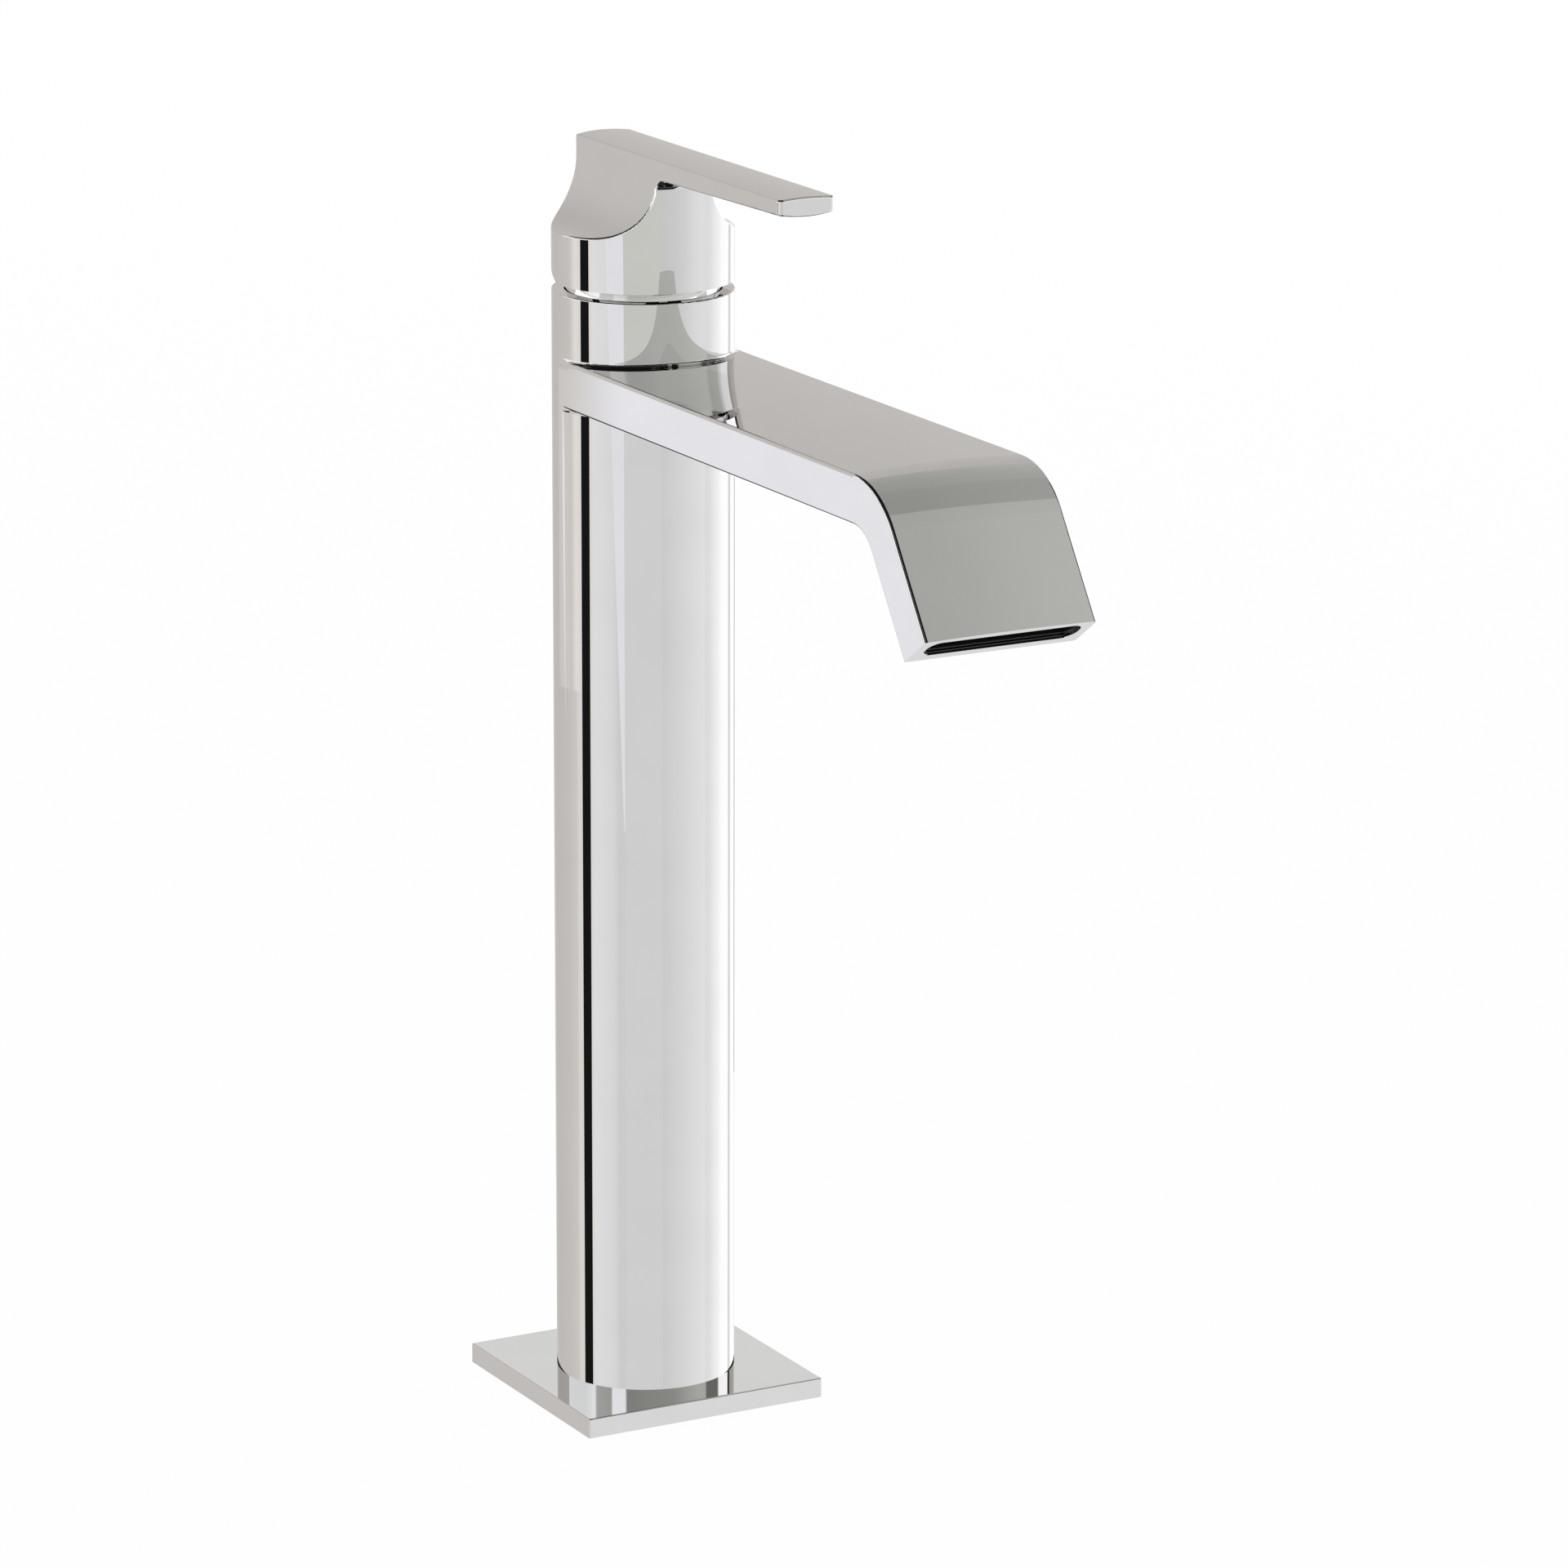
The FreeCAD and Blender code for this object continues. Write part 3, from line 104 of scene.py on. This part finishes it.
# Left side: black flag, softbox, and a wedge on it whose upper edge is the longer one
FLAG_ENDS = (-113.0, -99.6)
LEFT_SOFTBOX_ROWS = [
    (-114, WARM, 1.12), (-100, WARM, 1.12), (-94, NEUTRAL, 1.16), (-75, NEUTRAL, 1.12),
    (-67, NEUTRAL, 1.08), (-60, NEUTRAL, 0.97), (-52, NEUTRAL, 0.97)]
WEDGE_LOW_ENDS = (-53, -52)
WEDGE_HIGH_ENDS = (-80, -52)
WEDGE_HEIGHTS = (-0.48, -0.05)
WEDGE_LEVEL = 1.2

# Front and right side
FRONT_FILL_ROWS = [(-5, NEUTRAL, 0.96), (56, NEUTRAL, 1.22)]
RIGHT_SOFTBOX_ROWS = [
    (56, NEUTRAL, 1.13), (65, NEUTRAL, 1.2), (72, NEUTRAL, 1.32), (81, NEUTRAL, 1.42),
    (88, NEUTRAL, 1.56), (105, NEUTRAL, 1.56), (108, NEUTRAL, 1.0), (113, NEUTRAL, 1.0),
    (116, NEUTRAL, 1.45), (131, NEUTRAL, 1.4), (135, NEUTRAL, 1.05), (150, NEUTRAL, 1.02)]
RIGHT_SOFTBOX_HIGH = 0.3
RIGHT_EDGE_ENDS = (134, 152)
RIGHT_EDGE_HEIGHTS = (-0.62, -0.27)
RIGHT_EDGE_LEVEL = 0.69

# Room above the softboxes, with the lower row of windows repeated near the tap
FRONT_WALL_ROWS = [
    (-52, GREENISH, 0.89), (-5, GREENISH, 0.9), (5, NEUTRAL, 0.92), (15, NEUTRAL, 0.95),
    (25, NEUTRAL, 1.0), (37, NEUTRAL, 1.1), (49, NEUTRAL, 1.17), (56, NEUTRAL, 1.17),
    (112, NEUTRAL, 1.3)]
HORIZON_ROWS = [
    (-146, NEUTRAL, 1.9), (-22, NEUTRAL, 1.9), (-17, NEUTRAL, 1.1), (13, NEUTRAL, 1.1),
    (18, NEUTRAL, 1.9), (56, NEUTRAL, 1.9), (59, NEUTRAL, 0.9), (79, NEUTRAL, 0.9),
    (82, NEUTRAL, 1.9), (112, NEUTRAL, 1.9)]
LOW_WINDOW_ROWS = [
    (-146, COOL, 1.4), (-112, COOL, 1.4), (-97, NEUTRAL, 1.5), (-94, NEUTRAL, 0.88),
    (-73, GREENISH, 0.88), (-71, PALE, 1.15), (-55, PALE, 1.08), (-51, GREENISH, 0.83),
    (-46, GREENISH, 0.76), (-25, GREENISH, 0.79), (-10, GREENISH, 0.85), (20, GREENISH, 0.88),
    (40, GREENISH, 0.95), (57, GREENISH, 0.98), (62, GREENISH, 0.8), (78, GREENISH, 0.85),
    (84, NEUTRAL, 1.2), (89, NEUTRAL, 1.5), (105, NEUTRAL, 1.5), (107, GREENISH, 0.55),
    (114, WARM, 0.69)]
WINDOW_ROWS = [
    (-146, COOL, 1.6), (-112, COOL, 1.6), (-111, NEUTRAL, 1.6), (-97, NEUTRAL, 1.85),
    (-94, NEUTRAL, 0.85), (-73, GREENISH, 0.75), (-71, LAVENDER, 1.85), (-54, LAVENDER, 1.85),
    (-52, GREENISH, 0.5), (-15, GREENISH, 0.57), (10, GREENISH, 0.61), (30, GREENISH, 0.8),
    (45, GREENISH, 0.9), (56, GREENISH, 0.9), (59, GREENISH, 0.3), (80, GREENISH, 0.3),
    (83, NEUTRAL, 2.1), (105, NEUTRAL, 2.1), (107, NEUTRAL, BLACK_LEVEL), (112, NEUTRAL, BLACK_LEVEL),
    (114, WARM, 0.7)]
DARK_ROOM_ENDS = (-146, 112)
NEAR_WINDOWS_RADIUS = 1.2
NEAR_WINDOWS_HEIGHTS = (0.5, 0.595)
NEAR_WINDOWS_SHARE = 0.9

# Ceiling panels on the right: x from the middle outwards, and where one ends and the next begins along y
PANEL_INNER = 0.68
PANEL_OUTER = (2.1, 1.5, 1.8, 1.8)
PANEL_STEPS = (-2.3, -0.72, 0.36, 1.8, 2.4)
PANEL_TINTS = (GREENISH, GREENISH, GREENISH, WARM)
PANEL_LEVELS = ((0.565, 0.79), (0.43, 0.567), (0.445, 0.67), (0.69, 0.69))

# Card that the flat left side of the spout shows: azimuths, and heights as (lower, upper)
SPOUT_CARD_ENDS = (-152.9, -147.3)
SPOUT_CARD_ROOT = (-0.26, -0.185)
SPOUT_CARD_TIP = (-0.41, -0.255)
SPOUT_CARD_FADE_SHARES = (0.065, 0.2)
SPOUT_CARD_LEVEL = 1.24

# Chrome: two tones, two roughnesses, and the sizes of its haze and its waviness
CHROME_TONES = ((0.605, 0.603, 0.602), (0.618, 0.617, 0.618))
CHROME_ROUGH = (0.004, 0.016)
CHROME_HAZE = {"Scale": 60.0, "Detail": 4.0}
CHROME_RIPPLE = {"Scale": 14.0, "Detail": 0.0}
CHROME_RELIEF = 0.01

# Other finishes: two tones, two roughnesses, fineness of the grain along x, y and z, and relief
FINISHES = {
    # Bare brass with the level marks of turning
    "brass": {"tones": ((0.68, 0.51, 0.24), (0.75, 0.58, 0.30)), "rough": (0.2, 0.36),
              "grain": (60, 60, 2400), "relief": 0.2, "metallic": 1.0},
    # Drawn copper tube with marks along its length
    "copper": {"tones": ((0.68, 0.40, 0.26), (0.75, 0.46, 0.32)), "rough": (0.22, 0.38),
               "grain": (1400, 1400, 25), "relief": 0.15, "metallic": 1.0},
    # Turned and stamped stainless steel
    "steel": {"tones": ((0.58, 0.58, 0.59), (0.66, 0.66, 0.67)), "rough": (0.18, 0.32),
              "grain": (80, 80, 2000), "relief": 0.15, "metallic": 1.0},
    # Matt black rubber with a fine moulded grain
    "rubber": {"tones": ((0.024, 0.024, 0.024), (0.038, 0.038, 0.037)), "rough": (0.62, 0.8),
               "grain": (1500, 1500, 1500), "relief": 0.3},
    # Lapped cream ceramic, smooth with faint clouding
    "ceramic": {"tones": ((0.84, 0.83, 0.80), (0.88, 0.87, 0.84)), "rough": (0.1, 0.18),
                "grain": (220, 220, 220), "relief": 0.02},
    # Off-white moulded plastic with a satin skin
    "cartridge_plastic": {"tones": ((0.78, 0.78, 0.76), (0.82, 0.82, 0.80)), "rough": (0.36, 0.5),
                          "grain": (1800, 1800, 1800), "relief": 0.15},
    # Dark moulded plastic of the outlet, satin and low in gloss; its near-black tone and low gloss also
    # paint the shade inside the outlet's recess
    "outlet_plastic": {"tones": ((0.007, 0.007, 0.0075), (0.011, 0.011, 0.0115)), "rough": (0.35, 0.5),
                       "grain": (900, 900, 900), "relief": 0.03, "gloss": 0.06},
    # Grey moulded plastic of the index plug
    "plug_plastic": {"tones": ((0.43, 0.43, 0.44), (0.47, 0.47, 0.48)), "rough": (0.2, 0.3),
                     "grain": (1600, 1600, 1600), "relief": 0.05},
}
TONE_SHARES = (0.35, 0.65)
GRAIN_DETAIL = 3.0
RELIEF_DEPTH = 0.0001


def direction(azimuth):
    """Level unit vector that points from the tap towards an azimuth."""
    turn = math.radians(azimuth)
    return Vector((math.sin(turn), -math.cos(turn), 0.0))


def point_at(azimuth, radius, height):
    """Point at an azimuth, a distance from the column's axis and a height."""
    point = direction(azimuth) * radius
    point.z = height
    return point


def add_camera():
    """Camera at the photograph's viewing angle."""
    turn = math.radians(VIEW_AZIMUTH)
    down = math.radians(VIEW_DOWN)
    roll = math.radians(VIEW_ROLL)
    level = direction(VIEW_AZIMUTH)
    back = level * math.cos(down) + Vector((0.0, 0.0, math.sin(down)))
    right = Vector((math.cos(turn), math.sin(turn), 0.0))
    up = back.cross(right)
    rolled_right = right * math.cos(roll) + up * math.sin(roll)
    rolled_up = up * math.cos(roll) - right * math.sin(roll)
    data = bpy.data.cameras.new("view")
    data.lens = LENS
    data.sensor_width = SENSOR
    camera = bpy.data.objects.new("view", data)
    place = Matrix((rolled_right, rolled_up, back)).transposed().to_4x4()
    place.translation = VIEW_AIM + back * VIEW_DISTANCE
    camera.matrix_world = place
    bpy.context.collection.objects.link(camera)
    bpy.context.scene.camera = camera


def new_material(name):
    """Empty node material with its output node."""
    material = bpy.data.materials.new(name)
    material.use_nodes = True
    material.node_tree.nodes.clear()
    return material, material.node_tree, material.node_tree.nodes.new("ShaderNodeOutputMaterial")


def add_node(tree, kind, **values):
    """Node with its named inputs and properties set."""
    node = tree.nodes.new(kind)
    for name, value in values.items():
        if hasattr(node, name):
            setattr(node, name, value)
        else:
            node.inputs[name.replace("_", " ")].default_value = value
    return node


def set_stops(ramp, stops):
    """Stops of a colour ramp, as pairs of position and colour."""
    elements = ramp.color_ramp.elements
    while len(elements) < len(stops):
        elements.new(1.0)
    for element, (position, colour) in zip(elements, stops):
        element.position = position
        element.color = (*colour, 1.0)


def shade(tint, level):
    """Colour of a card from its tint and its level."""
    return tuple(part * level for part in tint)


def glow(name, stops):
    """Emission that follows colour stops across a card."""
    material, tree, output = new_material(name)
    place = add_node(tree, "ShaderNodeUVMap")
    split = add_node(tree, "ShaderNodeSeparateXYZ")
    peak = max(max(colour) for _, colour in stops)
    ramp = add_node(tree, "ShaderNodeValToRGB")
    set_stops(ramp, [(share, tuple(part / peak for part in colour)) for share, colour in stops])
    light = add_node(tree, "ShaderNodeEmission", Strength=peak)
    tree.links.new(place.outputs["UV"], split.inputs["Vector"])
    tree.links.new(split.outputs["X"], ramp.inputs["Fac"])
    tree.links.new(ramp.outputs["Color"], light.inputs["Color"])
    tree.links.new(light.outputs["Emission"], output.inputs["Surface"])
    return material


def even_glow(name, tint, level):
    """Emission of one colour."""
    colour = shade(tint, level)
    return glow(name, [(0.0, colour), (1.0, colour)])


def fading_glow(name, colour, clear_share, full_share):
    """Emission that fades in from clear along a card."""
    material, tree, output = new_material(name)
    place = add_node(tree, "ShaderNodeUVMap")
    split = add_node(tree, "ShaderNodeSeparateXYZ")
    fade = add_node(tree, "ShaderNodeMapRange", From_Min=clear_share, From_Max=full_share)
    light = add_node(tree, "ShaderNodeEmission", Color=(*colour, 1.0), Strength=1.0)
    clear = add_node(tree, "ShaderNodeBsdfTransparent")
    mix = add_node(tree, "ShaderNodeMixShader")
    tree.links.new(place.outputs["UV"], split.inputs["Vector"])
    tree.links.new(split.outputs["X"], fade.inputs["Value"])
    tree.links.new(fade.outputs["Result"], mix.inputs["Fac"])
    tree.links.new(clear.outputs["BSDF"], mix.inputs[1])
    tree.links.new(light.outputs["Emission"], mix.inputs[2])
    tree.links.new(mix.outputs["Shader"], output.inputs["Surface"])
    return material


def finish_card(name, form, material):
    """Studio card from a mesh form, hidden from the camera."""
    mesh = bpy.data.meshes.new(name)
    form.to_mesh(mesh)
    form.free()
    mesh.materials.append(material)
    card = bpy.data.objects.new(name, mesh)
    card.visible_camera = False
    bpy.context.collection.objects.link(card)
    return card


def add_arc_card(name, low_ends, high_ends, material, heights=(WALL_LOW, WALL_HIGH), radius=WALL_RADIUS):
    """Curved upright card between azimuths, given for its lower and its upper edge."""
    low, high = heights
    form = bmesh.new()
    layer = form.loops.layers.uv.new("UVMap")
    steps = max(ARC_LEAST_STEPS, math.ceil(abs(low_ends[1] - low_ends[0]) / ARC_STEP))
    columns = []
    for step in range(steps + 1):
        share = step / steps
        foot = point_at(low_ends[0] + share * (low_ends[1] - low_ends[0]), radius, low)
        head = point_at(high_ends[0] + share * (high_ends[1] - high_ends[0]), radius, high)
        columns.append((share, form.verts.new(foot), form.verts.new(head)))
    for (share, foot, head), (next_share, next_foot, next_head) in zip(columns, columns[1:]):
        face = form.faces.new((foot, next_foot, next_head, head))
        corners = ((share, 0.0), (next_share, 0.0), (next_share, 1.0), (share, 1.0))
        for loop, corner in zip(face.loops, corners):
            loop[layer].uv = corner
    return finish_card(name, form, material)


def add_graded_arc(name, rows, **place):
    """Curved card whose colour follows the azimuth, from rows of azimuth, tint and level."""
    ends = (rows[0][0], rows[-1][0])
    span = ends[1] - ends[0]
    stops = [((azimuth - ends[0]) / span, shade(tint, level)) for azimuth, tint, level in rows]
    return add_arc_card(name, ends, ends, glow(name, stops), **place)


def add_even_arc(name, ends, tint, level, **place):
    """Curved card of one colour."""
    return add_graded_arc(name, [(end, tint, level) for end in ends], **place)


def add_disc_card(name, radius, height, material):
    """Level round card whose map runs from its middle to its rim."""
    form = bmesh.new()
    layer = form.loops.layers.uv.new("UVMap")
    middle = form.verts.new((0.0, 0.0, height))
    steps = math.ceil(FULL_TURN / ARC_STEP)
    rim = []
    for step in range(steps + 1):
        rim.append(form.verts.new(point_at(FULL_TURN * step / steps, radius, height)))
    for first, second in zip(rim, rim[1:]):
        face = form.faces.new((middle, first, second))
        for loop in face.loops:
            loop[layer].uv = (0.0, 0.0) if loop.vert is middle else (1.0, 0.0)
    return finish_card(name, form, material)


def add_flat_card(name, corners, material):
    """Flat card through four corners in turn, whose map runs from the first to the second."""
    form = bmesh.new()
    layer = form.loops.layers.uv.new("UVMap")
    face = form.faces.new([form.verts.new(corner) for corner in corners])
    for loop, corner in zip(face.loops, ((0.0, 0.0), (1.0, 0.0), (1.0, 1.0), (0.0, 1.0))):
        loop[layer].uv = corner
    return finish_card(name, form, material)


def keep_to_reflections(card):
    """Takes a card that stands near the tap out of the soft light and the shadows."""
    card.visible_diffuse = False
    card.visible_shadow = False


def add_backdrop():
    """Warm grey behind the tap, paler on the left, dark low down, and a pale card behind the base plate."""
    add_graded_arc("backdrop", BACKDROP_ROWS)
    add_even_arc("low_dark", LOW_DARK_ENDS, NEUTRAL, BLACK_LEVEL, heights=(WALL_LOW, LOW_DARK_HIGH),
                 radius=INNER_RADIUS)
    add_graded_arc("back_halo", HALO_ROWS, heights=(HALO_LOW, HALO_HIGH), radius=INNER_RADIUS)
    add_graded_arc("back_glow", GLOW_ROWS, heights=(HALO_LOW, HORIZON_LOW), radius=INNER_RADIUS)
    plate_card = add_even_arc("plate_card", PLATE_CARD_ENDS, PALE, PLATE_CARD_LEVEL,
                              heights=PLATE_CARD_HEIGHTS, radius=PLATE_CARD_RADIUS)
    keep_to_reflections(plate_card)


def add_left_side():
    """Black flag and softbox on the left, with a brighter wedge on the softbox."""
    add_even_arc("flag", FLAG_ENDS, NEUTRAL, BLACK_LEVEL, heights=(WALL_LOW, HORIZON_LOW),
                 radius=INNER_RADIUS)
    add_graded_arc("left_softbox", LEFT_SOFTBOX_ROWS, heights=(WALL_LOW, WINDOWS_LOW))
    material = even_glow("left_wedge", LAVENDER, WEDGE_LEVEL)
    add_arc_card("left_wedge", WEDGE_LOW_ENDS, WEDGE_HIGH_ENDS, material, heights=WEDGE_HEIGHTS,
                 radius=INNER_RADIUS)


def add_right_side():
    """Fill in front and a tall softbox on the right, with a dark seam and a grey card at its end."""
    add_graded_arc("front_fill", FRONT_FILL_ROWS, heights=(WALL_LOW, FRONT_LOW))
    add_graded_arc("right_softbox", RIGHT_SOFTBOX_ROWS, heights=(WALL_LOW, RIGHT_SOFTBOX_HIGH),
                   radius=INNER_RADIUS)
    add_even_arc("right_edge", RIGHT_EDGE_ENDS, WARM, RIGHT_EDGE_LEVEL, heights=RIGHT_EDGE_HEIGHTS,
                 radius=INNERMOST_RADIUS)


def add_room():
    """Room above the softboxes: a grey front, a white line at eye level, two rows of windows, dark above."""
    add_graded_arc("front_wall", FRONT_WALL_ROWS, heights=(FRONT_LOW, WINDOWS_LOW), radius=OUTER_RADIUS)
    add_graded_arc("horizon", HORIZON_ROWS, heights=(HORIZON_LOW, HORIZON_HIGH), radius=INNERMOST_RADIUS)
    add_graded_arc("low_windows", LOW_WINDOW_ROWS, heights=(WINDOWS_LOW, WINDOWS_SPLIT), radius=INNER_RADIUS)
    near_rows = [(azimuth, tint, level * NEAR_WINDOWS_SHARE) for azimuth, tint, level in LOW_WINDOW_ROWS]
    near_windows = add_graded_arc("near_windows", near_rows, heights=NEAR_WINDOWS_HEIGHTS,
                                  radius=NEAR_WINDOWS_RADIUS)
    keep_to_reflections(near_windows)
    add_graded_arc("windows", WINDOW_ROWS, heights=(WINDOWS_SPLIT, WINDOWS_HIGH), radius=INNER_RADIUS)
    add_even_arc("dark_room", DARK_ROOM_ENDS, NEUTRAL, BLACK_LEVEL, heights=(WINDOWS_HIGH, WALL_HIGH))
    ceiling = even_glow("dark_ceiling", NEUTRAL, BLACK_LEVEL)
    add_disc_card("dark_ceiling", WALL_RADIUS, CEILING_HEIGHT, ceiling)
    add_ceiling_panels()
    add_disc_card("pit", PIT_RADIUS, WALL_LOW, even_glow("pit", NEUTRAL, BLACK_LEVEL))


def add_ceiling_panels():
    """Panels overhead on the right, seen in the bend of the spout and in its drop."""
    for number, (tint, levels, outer) in enumerate(zip(PANEL_TINTS, PANEL_LEVELS, PANEL_OUTER)):
        front, back = PANEL_STEPS[number:number + 2]
        corners = [(PANEL_INNER, front, PANEL_HEIGHT), (outer, front, PANEL_HEIGHT),
                   (outer, back, PANEL_HEIGHT), (PANEL_INNER, back, PANEL_HEIGHT)]
        name = f"ceiling_panel_{number}"
        stops = [(float(share), shade(tint, level)) for share, level in enumerate(levels)]
        add_flat_card(name, corners, glow(name, stops))


def add_spout_card():
    """Pale card far behind on the left, seen in the flat side of the spout."""
    root, tip = SPOUT_CARD_ENDS
    corners = [point_at(root, INNERMOST_RADIUS, SPOUT_CARD_ROOT[0]),
               point_at(tip, INNERMOST_RADIUS, SPOUT_CARD_TIP[0]),
               point_at(tip, INNERMOST_RADIUS, SPOUT_CARD_TIP[1]),
               point_at(root, INNERMOST_RADIUS, SPOUT_CARD_ROOT[1])]
    colour = shade(LAVENDER, SPOUT_CARD_LEVEL)
    add_flat_card("spout_card", corners, fading_glow("spout_card", colour, *SPOUT_CARD_FADE_SHARES))


def add_studio():
    """Cards round the tap, as the chrome shows them."""
    add_backdrop()
    add_left_side()
    add_right_side()
    add_room()
    add_spout_card()


def add_world():
    """White surroundings for the camera and for reflections, softer light otherwise."""
    world = bpy.data.worlds.new("studio")
    world.use_nodes = True
    tree = world.node_tree
    tree.nodes.clear()
    output = add_node(tree, "ShaderNodeOutputWorld")
    path = add_node(tree, "ShaderNodeLightPath")
    seen = add_node(tree, "ShaderNodeMath", operation="MAXIMUM")
    shown = add_node(tree, "ShaderNodeMath", operation="MAXIMUM")
    soft = add_node(tree, "ShaderNodeBackground", Color=(*NEUTRAL, 1.0), Strength=SOFT_LEVEL)
    white = add_node(tree, "ShaderNodeBackground", Color=(*NEUTRAL, 1.0), Strength=1.0)
    mix = add_node(tree, "ShaderNodeMixShader")
    tree.links.new(path.outputs["Is Camera Ray"], seen.inputs[0])
    tree.links.new(path.outputs["Is Glossy Ray"], seen.inputs[1])
    tree.links.new(seen.outputs[0], shown.inputs[0])
    tree.links.new(path.outputs["Is Transmission Ray"], shown.inputs[1])
    tree.links.new(shown.outputs[0], mix.inputs["Fac"])
    tree.links.new(soft.outputs[0], mix.inputs[1])
    tree.links.new(white.outputs[0], mix.inputs[2])
    tree.links.new(mix.outputs[0], output.inputs["Surface"])
    bpy.context.scene.world = world


def floor_material():
    """Pale floor: white to the camera but for a share of the shadow, open from below."""
    material, tree, output = new_material("floor")
    path = add_node(tree, "ShaderNodeLightPath")
    side = add_node(tree, "ShaderNodeNewGeometry")
    matt = add_node(tree, "ShaderNodeBsdfDiffuse", Color=(FLOOR_TONE, FLOOR_TONE, FLOOR_TONE, 1.0))
    white = add_node(tree, "ShaderNodeEmission", Color=(*NEUTRAL, 1.0), Strength=FLOOR_WHITE_LEVEL)
    keep = add_node(tree, "ShaderNodeMath", operation="MULTIPLY")
    keep.inputs[1].default_value = FLOOR_WHITE_SHARE
    pale = add_node(tree, "ShaderNodeMixShader")
    clear = add_node(tree, "ShaderNodeBsdfTransparent")
    sided = add_node(tree, "ShaderNodeMixShader")
    tree.links.new(path.outputs["Is Camera Ray"], keep.inputs[0])
    tree.links.new(keep.outputs[0], pale.inputs["Fac"])
    tree.links.new(matt.outputs[0], pale.inputs[1])
    tree.links.new(white.outputs[0], pale.inputs[2])
    tree.links.new(side.outputs["Backfacing"], sided.inputs["Fac"])
    tree.links.new(pale.outputs[0], sided.inputs[1])
    tree.links.new(clear.outputs[0], sided.inputs[2])
    tree.links.new(sided.outputs[0], output.inputs["Surface"])
    return material


def add_floor():
    """Floor disc under the tap, left out of reflections."""
    floor = add_disc_card("floor", FLOOR_RADIUS, cad_box[0][2], floor_material())
    floor.visible_camera = True
    floor.visible_glossy = False


def chrome():
    """Polished chrome with faint haze and the slight waviness of plating."""
    material, tree, output = new_material("chrome")
    place = add_node(tree, "ShaderNodeTexCoord")
    haze = add_node(tree, "ShaderNodeTexNoise", **CHROME_HAZE)
    tint = add_node(tree, "ShaderNodeValToRGB")
    set_stops(tint, list(zip(TONE_SHARES, CHROME_TONES)))
    rough = add_node(tree, "ShaderNodeMapRange", To_Min=CHROME_ROUGH[0], To_Max=CHROME_ROUGH[1])
    ripple = add_node(tree, "ShaderNodeTexNoise", **CHROME_RIPPLE)
    bump = add_node(tree, "ShaderNodeBump", Strength=CHROME_RELIEF, Distance=RELIEF_DEPTH)
    metal = add_node(tree, "ShaderNodeBsdfPrincipled", Metallic=1.0)
    tree.links.new(place.outputs["Object"], haze.inputs["Vector"])
    tree.links.new(place.outputs["Object"], ripple.inputs["Vector"])
    tree.links.new(haze.outputs["Fac"], tint.inputs["Fac"])
    tree.links.new(haze.outputs["Fac"], rough.inputs["Value"])
    tree.links.new(ripple.outputs["Fac"], bump.inputs["Height"])
    tree.links.new(tint.outputs["Color"], metal.inputs["Base Color"])
    tree.links.new(rough.outputs["Result"], metal.inputs["Roughness"])
    tree.links.new(bump.outputs["Normal"], metal.inputs["Normal"])
    tree.links.new(metal.outputs["BSDF"], output.inputs["Surface"])
    return material


def grained(name, tones, rough, grain, relief, metallic=0.0, gloss=0.5):
    """Material whose tone, roughness and relief follow one noise, with its grain finer along some axes."""
    material, tree, output = new_material(name)
    place = add_node(tree, "ShaderNodeTexCoord")
    stretch = add_node(tree, "ShaderNodeMapping", Scale=grain)
    noise = add_node(tree, "ShaderNodeTexNoise", Scale=1.0, Detail=GRAIN_DETAIL)
    tone = add_node(tree, "ShaderNodeValToRGB")
    set_stops(tone, list(zip(TONE_SHARES, tones)))
    haze = add_node(tree, "ShaderNodeMapRange", To_Min=rough[0], To_Max=rough[1])
    bump = add_node(tree, "ShaderNodeBump", Strength=relief, Distance=RELIEF_DEPTH)
    skin = add_node(tree, "ShaderNodeBsdfPrincipled", Metallic=metallic, Specular_IOR_Level=gloss)
    tree.links.new(place.outputs["Object"], stretch.inputs["Vector"])
    tree.links.new(stretch.outputs["Vector"], noise.inputs["Vector"])
    tree.links.new(noise.outputs["Fac"], tone.inputs["Fac"])
    tree.links.new(noise.outputs["Fac"], haze.inputs["Value"])
    tree.links.new(noise.outputs["Fac"], bump.inputs["Height"])
    tree.links.new(tone.outputs["Color"], skin.inputs["Base Color"])
    tree.links.new(haze.outputs["Result"], skin.inputs["Roughness"])
    tree.links.new(bump.outputs["Normal"], skin.inputs["Normal"])
    tree.links.new(skin.outputs["BSDF"], output.inputs["Surface"])
    return material


def dress(material, slot):
    """Gives a material to every node of a slot."""
    for part in frame["record"]["subparts"]:
        if part["material_slot"] == slot:
            node = frame["nodes"][part["node"]]
            if not node.material_slots:
                node.data.materials.append(material)
            for place in node.material_slots:
                place.material = material


bpy.context.scene.view_settings.view_transform = "Standard"
add_camera()
add_world()
add_floor()
add_studio()
dress(chrome(), "chrome")
for slot, values in FINISHES.items():
    dress(grained(slot, **values), slot)

# The foot of the column is clear white in the photograph, so it mirrors no base plate
frame["nodes"]["base_plate"].visible_glossy = False
